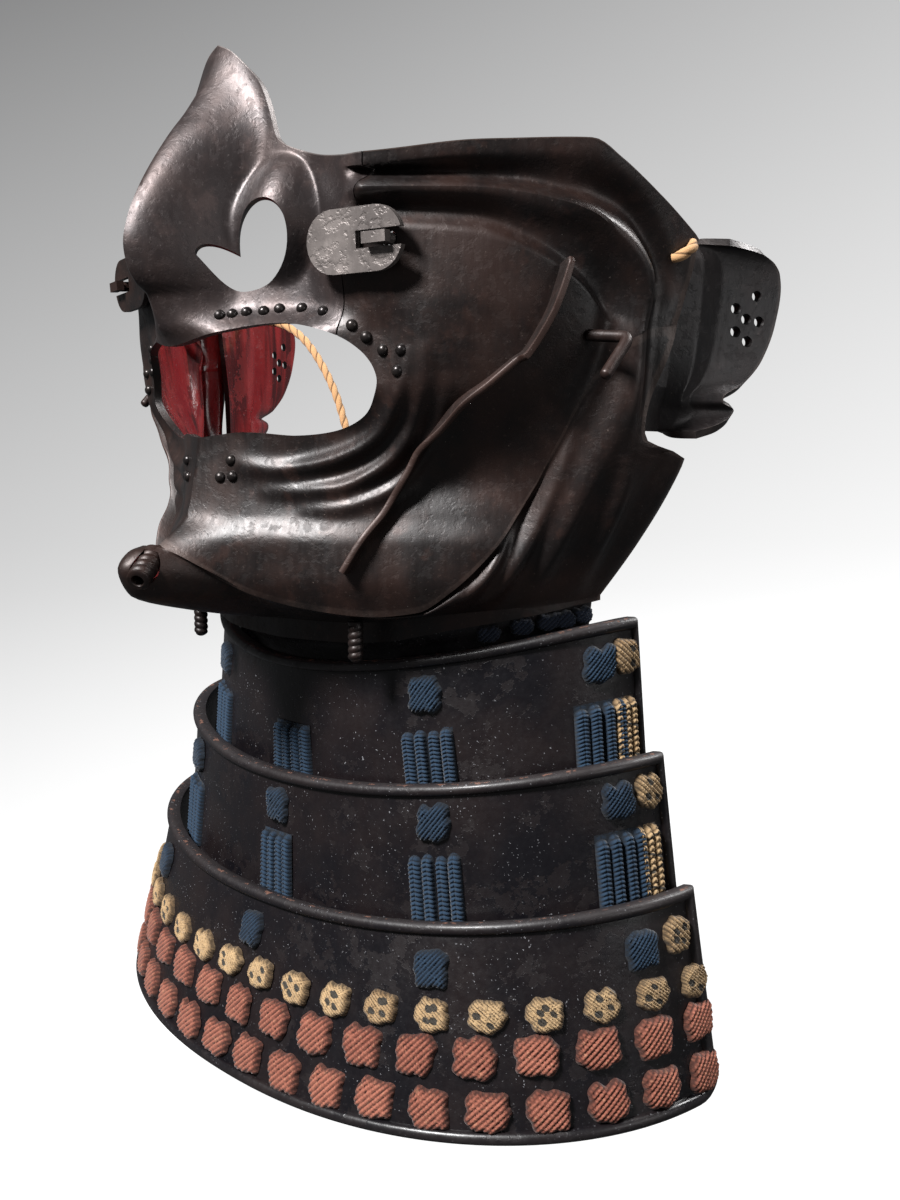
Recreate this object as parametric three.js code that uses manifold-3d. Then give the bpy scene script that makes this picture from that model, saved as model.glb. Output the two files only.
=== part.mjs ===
// A samurai face guard with a hanging throat guard of laced plates, in millimetres.
// The origin is where the wearer's chin rests, front is -Y, +Z is up and +X is the wearer's left.
import * as THREE from "three";
import { mergeVertices } from "three/addons/utils/BufferGeometryUtils.js";
import Module from "manifold-3d";

const wasm = await Module();
wasm.setup();

// Driving dimensions of the iron mask
const FACE_DEPTH = 65; // from the chin seat back to the upright axis that the sections turn about
const FACE_RADIUS = 80; // half the width over the cheeks
const FACE_HEIGHT = 111; // chin seat to the tip of the nose bridge
const IRON_WALL = 1.8;
const SEAT_GAP = 0.3; // between pieces that touch
const SEAM_GAP = 0.5; // between the nose piece and the cheeks
const NECK_HALF_WIDTH = 62;
const NECK_DEPTH = 41; // axis to the front of the neck flange
const FLANGE_HEIGHT = 4.5;

// Ear plates, locks, strips, hooks, tube and pegs
const EAR_PLATE_WALL = 1.6;
const EAR_REACH = 30.4; // from the upright axis back to the ear plate's rear edge
const LOCK_LENGTH = 23;
const LOCK_HEIGHT = 12.5;
const LOCK_WALL = 1.4;
const LOCK_SLOT_HEIGHT = 3.4;
const PIN_RADIUS = 1.2;
const PIN_BAR_LENGTH = 5.6;
const PIN_BAR_WIDTH = 2.2;
const PIN_BAR_HEIGHT = 1.8;
const PIN_CLEARANCE = 0.35;
const STRIP_HEIGHT = 4;
const STRIP_WALL = 1.5;
const HOOK_RADIUS = 1.2;
const HOOK_REACH = 9.5;
const HOOK_DROP = 11;
const TUBE_RADIUS = 2.6;
const TUBE_BORE = 1.3;
const TUBE_LENGTH = 9;
const PEG_RADIUS = 1.7;
const PEG_LENGTH = 8.5;
const PEG_SEAT = 0.9; // the seat gap and the throat's slope over the peg's head

// Throat guard
const THROAT_HEIGHT = 119.5; // chin seat down to the lowest edge
const LAME_WALL = 2;
const LAME_RIM = 1.3; // radius of the rounded rim on each lame's edges
const BRAID_WIDTH = 10;
const BRAID_THICKNESS = 1.7;
const EDGE_BRAID_WIDTH = 5;

// Hanging cord between the rear corners of the rim
const CORD_RADIUS = 1.15;

const COLOURS = { iron: 0x2b211f, greyIron: 0x4a4240, paleIron: 0x8d8680, lacquer: 0x1d1513, blue: 0x1c2c4a,
  tan: 0xb09a62, cord: 0xb98855 };

const material = (colour, roughness, metalness) =>
  new THREE.MeshStandardMaterial({ color: colour, roughness, metalness });
const IRON = material(COLOURS.iron, 0.45, 0.6);
const GREY_IRON = material(COLOURS.greyIron, 0.4, 0.7);
const PALE_IRON = material(COLOURS.paleIron, 0.5, 0.7);
const LACQUER = material(COLOURS.lacquer, 0.35, 0.1);
const BLUE_SILK = material(COLOURS.blue, 0.9, 0);
const TAN_SILK = material(COLOURS.tan, 0.9, 0);
const CORD = material(COLOURS.cord, 0.9, 0);

const guard = new THREE.Group();
const rad = THREE.MathUtils.degToRad;

// Monotone cubic through the rows of a table, so that a bulge never overshoots its rows.
function smooth(xs, ys, x) {
  const n = xs.length;
  if (x <= xs[0]) return ys[0];
  if (x >= xs[n - 1]) return ys[n - 1];
  let i = 0;
  while (x > xs[i + 1]) i += 1;
  const slope = (k) => (ys[k + 1] - ys[k]) / (xs[k + 1] - xs[k]);
  const tangent = (k) => {
    if (k === 0) return slope(0);
    if (k === n - 1) return slope(n - 2);
    const a = slope(k - 1);
    const b = slope(k);
    return a * b <= 0 ? 0 : (2 * a * b) / (a + b);
  };
  const h = xs[i + 1] - xs[i];
  const t = (x - xs[i]) / h;
  const t2 = t * t;
  const t3 = t2 * t;
  return (2 * t3 - 3 * t2 + 1) * ys[i] + (t3 - 2 * t2 + t) * h * tangent(i)
    + (3 * t2 - 2 * t3) * ys[i + 1] + (t3 - t2) * h * tangent(i + 1);
}
const column = (table, name) => table.map((row) => row[name]);
const byAngle = (table, name, angle) => smooth(column(table, "angle"), column(table, name), angle);
const bell = (x, width) => Math.exp(-((x / width) ** 2));
const mix = (a, b, t) => a + (b - a) * t;
const ease = (t) => t * t * (3 - 2 * t);
const clamp01 = (t) => Math.min(1, Math.max(0, t));

// Sections across the face, a row for each height, with radii as shares of FACE_RADIUS. The columns stand at
// these angles from the front.
const table = (names, rows) => rows.map((row) => Object.fromEntries(names.map((name, i) => [name, row[i]])));
const SECTION_ANGLES = [0, 10, 25, 40, 50, 61.5, 76, 93];
const SECTION_NAMES = ["front", "nose", "lip", "mouth", "cheek", "jaw", "temple", "ear"];
const SECTIONS = table(["height", ...SECTION_NAMES], [
  [-0.09, 0.975, 0.75, 0.713, 0.713, 0.738, 0.781, 0.825, 0.85],
  [-0.018, 1, 0.8, 0.75, 0.75, 0.769, 0.8, 0.831, 0.863],
  [0.045, 0.931, 0.82, 0.754, 0.75, 0.762, 0.806, 0.844, 0.881],
  [0.099, 0.812, 0.768, 0.725, 0.722, 0.738, 0.781, 0.838, 0.9],
  [0.162, 0.8, 0.75, 0.696, 0.702, 0.713, 0.762, 0.85, 0.925],
  [0.252, 0.781, 0.744, 0.706, 0.725, 0.75, 0.8, 0.881, 0.956],
  [0.342, 0.825, 0.8, 0.787, 0.787, 0.825, 0.863, 0.92, 0.975],
  [0.432, 0.863, 0.831, 0.787, 0.787, 0.856, 0.887, 0.948, 1],
  [0.495, 0.825, 0.775, 0.725, 0.8, 0.863, 0.9, 0.956, 1.012],
  [0.595, 0.825, 0.75, 0.713, 0.835, 0.863, 0.906, 0.975, 1.025],
  [0.739, 0.75, 0.713, 0.713, 0.838, 0.863, 0.904, 0.994, 1.031],
  [0.865, 0.713, 0.694, 0.7, 0.812, 0.85, 0.9, 0.988, 1.031],
  [1, 0.691, 0.681, 0.7, 0.8, 0.85, 0.9, 0.988, 1.025],
]);

// The nose in profile, a row for each height: reach is the ridge's radius, spread its half angle.
const NOSE = [
  { height: 0.42, reach: 0.878, spread: 13 },
  { height: 0.5, reach: 0.918, spread: 12 },
  { height: 0.517, reach: 0.93, spread: 12 },
  { height: 0.53, reach: 0.956, spread: 12 },
  { height: 0.562, reach: 0.984, spread: 12.5 },
  { height: 0.603, reach: 0.994, spread: 13 },
  { height: 0.654, reach: 0.978, spread: 13.5 },
  { height: 0.705, reach: 0.946, spread: 14 },
  { height: 0.754, reach: 0.906, spread: 15 },
  { height: 0.818, reach: 0.844, spread: 16 },
  { height: 0.868, reach: 0.788, spread: 15 },
  { height: 0.931, reach: 0.731, spread: 12 },
  { height: 1.0, reach: 0.691, spread: 8 },
];

// Lines that run round the face, a row for each angle from the front, heights as shares of FACE_HEIGHT.
// Below the rim come a groove, a rounded ridge and a lower groove, which turn down behind the cheek.
const FACE_LINES = [
  { angle: 0, rim: 1.0, groove: 0.9, ridge: 0.84, lower: 0.78 },
  { angle: 4, rim: 0.984, groove: 0.885, ridge: 0.83, lower: 0.77 },
  { angle: 9, rim: 0.948, groove: 0.86, ridge: 0.81, lower: 0.755 },
  { angle: 13, rim: 0.912, groove: 0.835, ridge: 0.785, lower: 0.735 },
  { angle: 15.5, rim: 0.868, groove: 0.805, ridge: 0.76, lower: 0.715 },
  { angle: 18.5, rim: 0.802, groove: 0.76, ridge: 0.725, lower: 0.685 },
  { angle: 23, rim: 0.778, groove: 0.738, ridge: 0.7, lower: 0.662 },
  { angle: 40, rim: 0.74, groove: 0.716, ridge: 0.677, lower: 0.648 },
  { angle: 58, rim: 0.755, groove: 0.703, ridge: 0.671, lower: 0.632 },
  { angle: 66, rim: 0.757, groove: 0.695, ridge: 0.658, lower: 0.6 },
  { angle: 73.5, rim: 0.758, groove: 0.672, ridge: 0.63, lower: 0.547 },
  { angle: 78, rim: 0.73, groove: 0.65, ridge: 0.59, lower: 0.495 },
  { angle: 82, rim: 0.702, groove: 0.62, ridge: 0.545, lower: 0.462 },
  { angle: 86, rim: 0.674, groove: 0.56, ridge: 0.505, lower: 0.466 },
  { angle: 94, rim: 0.612, groove: 0.51, ridge: 0.49, lower: 0.474 },
];
const JAW_EDGE = [
  { angle: 0, height: 0.042 },
  { angle: 4, height: 0.016 },
  { angle: 8, height: -0.022 },
  { angle: 14.5, height: -0.058 },
  { angle: 24.6, height: -0.081 },
  { angle: 39.3, height: -0.093 },
  { angle: 48.6, height: -0.083 },
  { angle: 55.3, height: -0.039 },
  { angle: 62.6, height: 0.036 },
  { angle: 70.5, height: 0.153 },
  { angle: 76.6, height: 0.333 },
  { angle: 83, height: 0.43 },
  { angle: 94, height: 0.46 },
];
const lineHeight = (line, angle) => FACE_HEIGHT * byAngle(FACE_LINES, line, Math.abs(angle));
const jawHeight = (angle) => FACE_HEIGHT * byAngle(JAW_EDGE, "height", Math.abs(angle));

// Radius of the plain face at an angle and height, then the nose, its wings and the brow folds upon it.
function plainRadius(angle, z) {
  const h = z / FACE_HEIGHT;
  const row = SECTION_NAMES.map((name) => smooth(column(SECTIONS, "height"), column(SECTIONS, name), h));
  return FACE_RADIUS * smooth(SECTION_ANGLES, row, angle);
}
function noseRise(angle, z) {
  const h = z / FACE_HEIGHT;
  if (h < NOSE[0].height) return 0;
  const heights = column(NOSE, "height");
  const reach = FACE_RADIUS * smooth(heights, column(NOSE, "reach"), h);
  const spread = smooth(heights, column(NOSE, "spread"), h);
  const share = clamp01(1 - angle / spread);
  const above = reach - plainRadius(0, z);
  return above * ease(share) * clamp01((h - NOSE[0].height) / 0.03);
}
// Wings beside the nose: a round dome about each nostril.
const WING = { angle: 19.5, height: 0.652, halfAngle: 10.2, halfHeight: 0.125, rise: 0.08 };
function wingRise(angle, z) {
  const a = (angle - WING.angle) / WING.halfAngle;
  const b = (z / FACE_HEIGHT - WING.height) / WING.halfHeight;
  const d = Math.hypot(a, b);
  return d >= 1 ? 0 : FACE_RADIUS * WING.rise * Math.sqrt(1 - d * d);
}
// Rise of the folds under the rim, found from the height's place between the lines.
const FOLD_RISE = { rim: 0.9, shoulder: 0.4, groove: -2.1, ridge: 1.1, lower: -1.7, cheek: 0 };
const RIM_SHOULDER = 2.5; // below the rim's raised edge
const CHEEK_SHOULDER = 3.5; // below the lower groove
function foldRise(angle, z) {
  if (angle < 36) return 0;
  const rim = lineHeight("rim", angle);
  const lower = lineHeight("lower", angle);
  const places = [rim, rim - RIM_SHOULDER, lineHeight("groove", angle), lineHeight("ridge", angle), lower,
    lower - CHEEK_SHOULDER];
  const depths = places.map((place) => rim - place);
  return smooth(depths, Object.values(FOLD_RISE), rim - z) * clamp01((angle - 36) / 3);
}
// Rolls of flesh round the corner of the mouth, each a line of angle and height with its rise and width.
const MOUTH_ROLLS = [
  { rise: 1.5, width: 2.3, line: [
    { angle: 9.8, height: 0.202 }, { angle: 18, height: 0.185 }, { angle: 26.3, height: 0.193 },
    { angle: 37.1, height: 0.224 }, { angle: 42.5, height: 0.265 }, { angle: 45.5, height: 0.345 } ] },
  { rise: 1.2, width: 2.2, line: [
    { angle: 16.3, height: 0.15 }, { angle: 29.1, height: 0.148 }, { angle: 37.8, height: 0.17 },
    { angle: 45, height: 0.22 }, { angle: 48.5, height: 0.345 } ] },
];
const ARC_PER_DEGREE = (Math.PI / 180) * 0.8 * FACE_RADIUS;
function distanceToLine(line, angle, z) {
  let nearest = Infinity;
  for (let i = 0; i + 1 < line.length; i += 1) {
    const ax = line[i].angle * ARC_PER_DEGREE;
    const az = line[i].height * FACE_HEIGHT;
    const dx = line[i + 1].angle * ARC_PER_DEGREE - ax;
    const dz = line[i + 1].height * FACE_HEIGHT - az;
    const px = angle * ARC_PER_DEGREE - ax;
    const pz = z - az;
    const t = clamp01((px * dx + pz * dz) / (dx * dx + dz * dz));
    nearest = Math.min(nearest, Math.hypot(px - t * dx, pz - t * dz));
  }
  return nearest;
}
function rollRise(angle, z) {
  const rise = (roll) => roll.rise * bell(distanceToLine(roll.line, angle, z), roll.width);
  return MOUTH_ROLLS.reduce((sum, roll) => sum + rise(roll), 0);
}
function faceRadius(signedAngle, z) {
  const angle = Math.abs(signedAngle);
  return plainRadius(angle, z) + noseRise(angle, z) + wingRise(angle, z)
    + foldRise(angle, z) + rollRise(angle, z);
}
// A point at an angle from the front, a radius from the upright axis and a height.
function around(angle, radius, z) {
  const a = rad(angle);
  return new THREE.Vector3(radius * Math.sin(a), FACE_DEPTH - radius * Math.cos(a), z);
}

// The neck flange is an oval; the throat under the jaw runs from the jaw's edge in to it.
function neckRadius(angle) {
  const a = rad(Math.abs(angle));
  return 1 / Math.hypot(Math.cos(a) / NECK_DEPTH, Math.sin(a) / NECK_HALF_WIDTH);
}
const NECK_TOP = [
  { angle: 0, height: -0.125 },
  { angle: 30, height: -0.12 },
  { angle: 60, height: -0.09 },
  { angle: 93, height: -0.06 },
];
// The chin's boss in profile, a row for each share of the way from the jaw's edge to the neck.
const CHIN_BOSS = [
  { way: 0, reach: 0.942, height: 0.042 },
  { way: 0.15, reach: 0.99, height: 0.034 },
  { way: 0.3, reach: 1.033, height: -0.002 },
  { way: 0.45, reach: 1.0, height: -0.052 },
  { way: 0.62, reach: 0.82, height: -0.09 },
  { way: 0.8, reach: 0.65, height: -0.112 },
  { way: 1, reach: 0.513, height: -0.125 },
];
const JAW_STEP = 2.2; // how far the throat stands in behind the jaw's edge
function throatPoint(signedAngle, way) {
  const angle = Math.abs(signedAngle);
  const edgeZ = jawHeight(angle);
  const edgeR = faceRadius(angle, edgeZ);
  const neckZ = FACE_HEIGHT * byAngle(NECK_TOP, "height", angle);
  const neckR = neckRadius(angle);
  const step = JAW_STEP * clamp01((90 - angle) / 20) * Math.min(1, way * 12);
  const belly = 4 * Math.sin(Math.PI * way) * clamp01((angle - 20) / 30);
  const r = mix(edgeR - step, neckR, Math.pow(way, angle > 50 ? 1.3 : 1)) + belly;
  const z = mix(edgeZ, neckZ, way);
  const pleat = pleatRise(angle, way);
  const boss = bell(angle, 7);
  const ways = column(CHIN_BOSS, "way");
  const bossR = FACE_RADIUS * smooth(ways, column(CHIN_BOSS, "reach"), way);
  const bossZ = FACE_HEIGHT * smooth(ways, column(CHIN_BOSS, "height"), way);
  return around(signedAngle, mix(r + pleat, bossR, boss), mix(z, bossZ, boss));
}
function pleatRise(angle, way) {
  if (angle < 56) return 0;
  const fan = (angle - 56) / 37 + 0.35 * way;
  return 0.9 * Math.cos(2 * Math.PI * fan * 4) * clamp01((angle - 56) / 6) * Math.sin(Math.PI * clamp01(way));
}

// Rows of the shell from the rim down over the face, round the jaw's edge and in to the neck flange.
const BROW_ROWS = 7;
const CHEEK_ROWS = 11;
const FACE_ROWS = BROW_ROWS + CHEEK_ROWS;
const THROAT_ROWS = 7;
const SHELL_ROWS = FACE_ROWS + THROAT_ROWS + 1;
function faceRowHeight(angle, row) {
  const rim = lineHeight("rim", angle);
  const lower = lineHeight("lower", angle);
  const groove = lineHeight("groove", angle);
  const brow = [rim, rim - 1, mix(rim, groove, 0.55), groove, lineHeight("ridge", angle), lower,
    mix(lower, jawHeight(angle), 0.02) - 1];
  if (row < BROW_ROWS) return brow[row];
  return mix(brow[BROW_ROWS - 1], jawHeight(angle), (row - BROW_ROWS + 1) / (CHEEK_ROWS + 1));
}
// The rear edge: the angle it stands at behind the face, then down the throat's pleats to the neck.
const FACE_REAR = [
  { height: 0.46, angle: 91 },
  { height: 0.52, angle: 92.5 },
  { height: 0.612, angle: 94 },
];
const THROAT_REAR = [
  { way: 0, angle: 91 },
  { way: 0.36, angle: 86.5 },
  { way: 0.4, angle: 87 },
  { way: 0.5, angle: 97 },
  { way: 0.8, angle: 93.5 },
  { way: 1, angle: 90 },
];
const FRONT_STEP = 3;
const FRONT_SPAN = 33;
const SIDE_COLUMNS = 11;
const FULL_ANGLE = 94;
const COLUMN_ANGLES = [];
for (let a = 0; a < FRONT_SPAN; a += FRONT_STEP) COLUMN_ANGLES.push(a);
for (let i = 0; i <= SIDE_COLUMNS; i += 1) COLUMN_ANGLES.push(mix(FRONT_SPAN, FULL_ANGLE, i / SIDE_COLUMNS));

// Angles past REAR_START are stretched to end at the rear edge.
const REAR_START = 74;
function stretched(angle, rear) {
  const size = Math.abs(angle);
  if (size <= REAR_START) return angle;
  return Math.sign(angle) * mix(REAR_START, rear, (size - REAR_START) / (FULL_ANGLE - REAR_START));
}
function shellPoint(angle, row) {
  if (row <= FACE_ROWS) {
    const first = faceRowHeight(angle, row);
    const rear = smooth(column(FACE_REAR, "height"), column(FACE_REAR, "angle"), first / FACE_HEIGHT);
    const turned = stretched(angle, rear);
    const z = faceRowHeight(turned, row);
    return around(turned, faceRadius(turned, z), z);
  }
  const way = Math.min(1, (row - FACE_ROWS) / THROAT_ROWS);
  const rear = smooth(column(THROAT_REAR, "way"), column(THROAT_REAR, "angle"), way);
  const p = throatPoint(stretched(angle, rear), way);
  if (row === SHELL_ROWS) p.z -= FLANGE_HEIGHT;
  return p;
}

// Points moved in from a grid along its own normals, each taken over a few neighbours to keep folds apart.
const NORMAL_NEIGHBOURS = 2;
function insetGrid(grid, wall) {
  const beside = NORMAL_NEIGHBOURS;
  const lastRow = grid.length - 1;
  const lastColumn = grid[0].length - 1;
  return grid.map((row, r) => row.map((p, c) => {
    const along = row[Math.min(c + beside, lastColumn)].clone().sub(row[Math.max(c - beside, 0)]);
    const down = grid[Math.min(r + beside, lastRow)][c].clone().sub(grid[Math.max(r - beside, 0)][c]);
    return p.clone().addScaledVector(along.cross(down).normalize(), wall);
  }));
}
// A closed wall between an outer and an inner grid of points, rows downwards and columns from right to left.
function wallGeometry(outerGrid, innerGrid) {
  const rows = outerGrid.length - 1;
  const columns = outerGrid[0].length - 1;
  const vertices = [...outerGrid.flat(), ...innerGrid.flat()].flatMap((p) => [p.x, p.y, p.z]);
  const outer = (c, r) => r * (columns + 1) + c;
  const back = (c, r) => (rows + 1) * (columns + 1) + outer(c, r);
  const index = [];
  const quad = (a, b, c, d) => index.push(a, b, c, a, c, d);
  for (let r = 0; r < rows; r += 1) {
    for (let c = 0; c < columns; c += 1) {
      quad(outer(c, r), outer(c, r + 1), outer(c + 1, r + 1), outer(c + 1, r));
      quad(back(c, r), back(c + 1, r), back(c + 1, r + 1), back(c, r + 1));
    }
    quad(outer(0, r), back(0, r), back(0, r + 1), outer(0, r + 1));
    quad(outer(columns, r), outer(columns, r + 1), back(columns, r + 1), back(columns, r));
  }
  for (let c = 0; c < columns; c += 1) {
    quad(outer(c, 0), outer(c + 1, 0), back(c + 1, 0), back(c, 0));
    quad(outer(c, rows), back(c, rows), back(c + 1, rows), outer(c + 1, rows));
  }
  const geometry = new THREE.BufferGeometry();
  geometry.setAttribute("position", new THREE.Float32BufferAttribute(vertices, 3));
  geometry.setIndex(index);
  return geometry;
}

// Solids and geometries for cutting and joining.
function toSolid(geometry) {
  const bare = geometry.clone();
  bare.deleteAttribute("normal");
  bare.deleteAttribute("uv");
  const merged = mergeVertices(bare, 1e-4);
  return new wasm.Manifold(new wasm.Mesh({
    numProp: 3,
    vertProperties: new Float32Array(merged.attributes.position.array),
    triVerts: new Uint32Array(merged.index.array),
  }));
}
function toGeometry(solid) {
  const mesh = solid.getMesh();
  const geometry = new THREE.BufferGeometry();
  geometry.setAttribute("position", new THREE.BufferAttribute(new Float32Array(mesh.vertProperties), 3));
  geometry.setIndex(new THREE.BufferAttribute(new Uint32Array(mesh.triVerts), 1));
  geometry.computeVertexNormals();
  return geometry;
}
function mirrored(geometry) {
  const copy = geometry.clone().applyMatrix4(new THREE.Matrix4().makeScale(-1, 1, 1));
  const flipped = Array.from(copy.index.array);
  for (let i = 0; i < flipped.length; i += 3) {
    [flipped[i + 1], flipped[i + 2]] = [flipped[i + 2], flipped[i + 1]];
  }
  copy.setIndex(flipped);
  return copy;
}
function add(name, geometry, finish) {
  const mesh = new THREE.Mesh(geometry, finish);
  mesh.name = name;
  guard.add(mesh);
  return mesh;
}
function addPair(name, geometry, finish) {
  const shared = geometry.index ? geometry : mergeVertices(geometry);
  add(`${name}_left`, shared, finish);
  add(`${name}_right`, mirrored(shared), finish);
}
// An outline drawn in the front view, x and height, pushed through the front of the face.
function throughFront(shape, from, to) {
  const geometry = new THREE.ExtrudeGeometry(shape,
    { depth: to - from, bevelEnabled: false, curveSegments: 10 });
  geometry.applyMatrix4(new THREE.Matrix4().makeBasis(
    new THREE.Vector3(1, 0, 0), new THREE.Vector3(0, 0, 1), new THREE.Vector3(0, -1, 0)));
  return geometry.translate(0, to, 0);
}

// Openings of the face: mouth and nostrils.
const MOUTH_HALF_WIDTH = 41.5;
const MOUTH_EDGE = [
  { across: 0, height: 0.42 },
  { across: 0.3, height: 0.443 },
  { across: 0.55, height: 0.456 },
  { across: 0.8, height: 0.436 },
  { across: 0.94, height: 0.4 },
  { across: 1.0, height: 0.352 },
  { across: 0.97, height: 0.315 },
  { across: 0.88, height: 0.282 },
  { across: 0.72, height: 0.258 },
  { across: 0.5, height: 0.25 },
  { across: 0.25, height: 0.257 },
  { across: 0, height: 0.248 },
];
function mouthShape() {
  const near = MOUTH_EDGE.map((row) =>
    new THREE.Vector2(row.across * MOUTH_HALF_WIDTH, row.height * FACE_HEIGHT));
  const far = near.slice(1, -1).reverse().map((p) => new THREE.Vector2(-p.x, p.y));
  return new THREE.Shape([...near, ...far]);
}
// The nose piece lifts off: its side edge is a seam from the rim down to the mouth. Across is a share of
// FACE_RADIUS.
const NOSE_SEAM = [
  { across: 0.544, height: 0.95 },
  { across: 0.54, height: 0.74 },
  { across: 0.53, height: 0.697 },
  { across: 0.504, height: 0.66 },
  { across: 0.44, height: 0.546 },
  { across: 0.435, height: 0.34 },
];
function nosePieceShape(extra) {
  const near = NOSE_SEAM.map((row) =>
    new THREE.Vector2(row.across * FACE_RADIUS + extra, row.height * FACE_HEIGHT));
  const top = new THREE.Vector2(near[0].x, 1.2 * FACE_HEIGHT);
  const side = [top, ...near];
  return new THREE.Shape([...side, ...side.slice().reverse().map((p) => new THREE.Vector2(-p.x, p.y))]);
}
// Each nostril is heart shaped, cut along a line that looks into the nose from its side.
const NOSTRIL = { angle: 11.4, height: 0.588, turn: 45, tilt: 6.3, reach: 15, depth: 9 };
function nostrilCutter() {
  const s = new THREE.Shape();
  s.moveTo(0, 0);
  s.bezierCurveTo(-0.4, 6.5, 2.0, 9.7, 5.4, 9.7);
  s.bezierCurveTo(9, 9.7, 10.9, 6, 10.9, 2.2);
  s.bezierCurveTo(10.9, -4, 6, -7.7, 1, -7.7);
  s.bezierCurveTo(-3, -7.5, -6, -3, -8.8, -0.4);
  s.bezierCurveTo(-8.2, 2.6, -4, 2.2, 0, 0);
  const geometry = new THREE.ExtrudeGeometry(s,
    { depth: NOSTRIL.reach + NOSTRIL.depth, bevelEnabled: false, curveSegments: 3 });
  geometry.translate(0, 0, -NOSTRIL.depth);
  geometry.rotateX(rad(90 - NOSTRIL.tilt));
  geometry.rotateZ(rad(NOSTRIL.turn));
  const z = NOSTRIL.height * FACE_HEIGHT;
  const cusp = around(NOSTRIL.angle, faceRadius(NOSTRIL.angle, z), z);
  return geometry.translate(cusp.x, cusp.y, cusp.z);
}

// Frame of the face's surface: point, outward normal, level tangent and upward tangent.
function faceFrame(angle, z) {
  const step = 0.4;
  const point = around(angle, faceRadius(angle, z), z);
  const level = around(angle + step, faceRadius(angle + step, z), z)
    .sub(around(angle - step, faceRadius(angle - step, z), z)).normalize();
  const rise = around(angle, faceRadius(angle, z + step), z + step)
    .sub(around(angle, faceRadius(angle, z - step), z - step)).normalize();
  const out = level.clone().cross(rise).normalize();
  const up = out.clone().cross(level).normalize();
  return { point, out, level, up };
}
const frameMatrix = (frame) => new THREE.Matrix4().makeBasis(frame.level, frame.up, frame.out)
  .setPosition(frame.point);

// Lock plates: each is riveted to the nose piece and reaches over the seam, with a slot open at its rear end.
const LOCK_PLACE = { angle: 38.6, height: 0.59 };
const LOCK_SLOT_START = 0.6; // from the plate's middle to the slot's inner end
const PIN_ACROSS = 6.2;
const lockFrame = faceFrame(LOCK_PLACE.angle, LOCK_PLACE.height * FACE_HEIGHT);

// Highest the face stands in a frame's own direction under a rectangle, so that a flat piece clears it.
function standUnder(frame, halfLength, halfHeight) {
  let highest = -Infinity;
  const inverse = frameMatrix(frame).invert();
  const reach = (halfLength + 6) / (ARC_PER_DEGREE * 0.8);
  for (let a = -reach; a <= reach; a += 0.5) {
    for (let h = -halfHeight - 3; h <= halfHeight + 3; h += 1) {
      const angle = LOCK_PLACE.angle + a;
      const z = LOCK_PLACE.height * FACE_HEIGHT + h;
      const p = around(angle, faceRadius(angle, z), z).applyMatrix4(inverse);
      if (Math.abs(p.x) <= halfLength && Math.abs(p.y) <= halfHeight) highest = Math.max(highest, p.z);
    }
  }
  return highest;
}
const LOCK_STAND = standUnder(lockFrame, LOCK_LENGTH / 2, LOCK_HEIGHT / 2) + SEAT_GAP + 0.2;

function lockPlate() {
  const half = LOCK_LENGTH / 2;
  const radius = LOCK_HEIGHT / 2;
  const shape = new THREE.Shape();
  const slotHalf = LOCK_SLOT_HEIGHT / 2;
  const mouthAcross = half - radius + Math.sqrt(radius ** 2 - slotHalf ** 2);
  shape.moveTo(mouthAcross, slotHalf);
  shape.absarc(half - radius, 0, radius, Math.asin(slotHalf / radius), Math.PI / 2, false);
  shape.absarc(-half + radius, 0, radius, Math.PI / 2, 1.5 * Math.PI, false);
  shape.absarc(half - radius, 0, radius, 1.5 * Math.PI, 2 * Math.PI - Math.asin(slotHalf / radius), false);
  shape.lineTo(LOCK_SLOT_START, -slotHalf);
  shape.lineTo(LOCK_SLOT_START, slotHalf);
  shape.closePath();
  const geometry = new THREE.ExtrudeGeometry(shape,
    { depth: LOCK_WALL, bevelEnabled: false, curveSegments: 6 });
  return geometry.translate(0, 0, LOCK_STAND).applyMatrix4(frameMatrix(lockFrame));
}

// Turn pins: a shaft through the cheek with a clenched foot inside and a bar that turns over the plate.
const PIN_SIDES = 10;
const PIN_FOOT_RADIUS = 2.3;
const PIN_FOOT_HEIGHT = 1;
const shaftGeometry = (radius, from, to) => new THREE.CylinderGeometry(radius, radius, to - from, PIN_SIDES)
  .rotateX(Math.PI / 2).translate(PIN_ACROSS, 0, (from + to) / 2).applyMatrix4(frameMatrix(lockFrame));
const PIN_SEARCH = 9; // degrees past the plate's middle
function wallDepthAtPin() {
  const inverse = frameMatrix(lockFrame).invert();
  let lowest = Infinity;
  for (let a = LOCK_PLACE.angle; a < LOCK_PLACE.angle + PIN_SEARCH; a += 0.25) {
    const z = LOCK_PLACE.height * FACE_HEIGHT;
    const p = around(a, faceRadius(a, z), z).applyMatrix4(inverse);
    if (Math.abs(p.x - PIN_ACROSS) <= PIN_FOOT_RADIUS + SEAT_GAP) lowest = Math.min(lowest, p.z);
  }
  return lowest - IRON_WALL;
}
const PIN_INNER = wallDepthAtPin() - 3 * SEAT_GAP;
function turnPin() {
  const top = LOCK_STAND + LOCK_WALL + SEAT_GAP;
  const shaft = toSolid(shaftGeometry(PIN_RADIUS, PIN_INNER - PIN_FOOT_HEIGHT / 2, top + PIN_BAR_HEIGHT / 2));
  const foot = toSolid(shaftGeometry(PIN_FOOT_RADIUS, PIN_INNER - PIN_FOOT_HEIGHT, PIN_INNER));
  const bar = toSolid(new THREE.BoxGeometry(PIN_BAR_LENGTH, PIN_BAR_WIDTH, PIN_BAR_HEIGHT)
    .translate(PIN_ACROSS, 0, top + PIN_BAR_HEIGHT / 2).applyMatrix4(frameMatrix(lockFrame)));
  return toGeometry(shaft.add(foot).add(bar));
}

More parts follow.
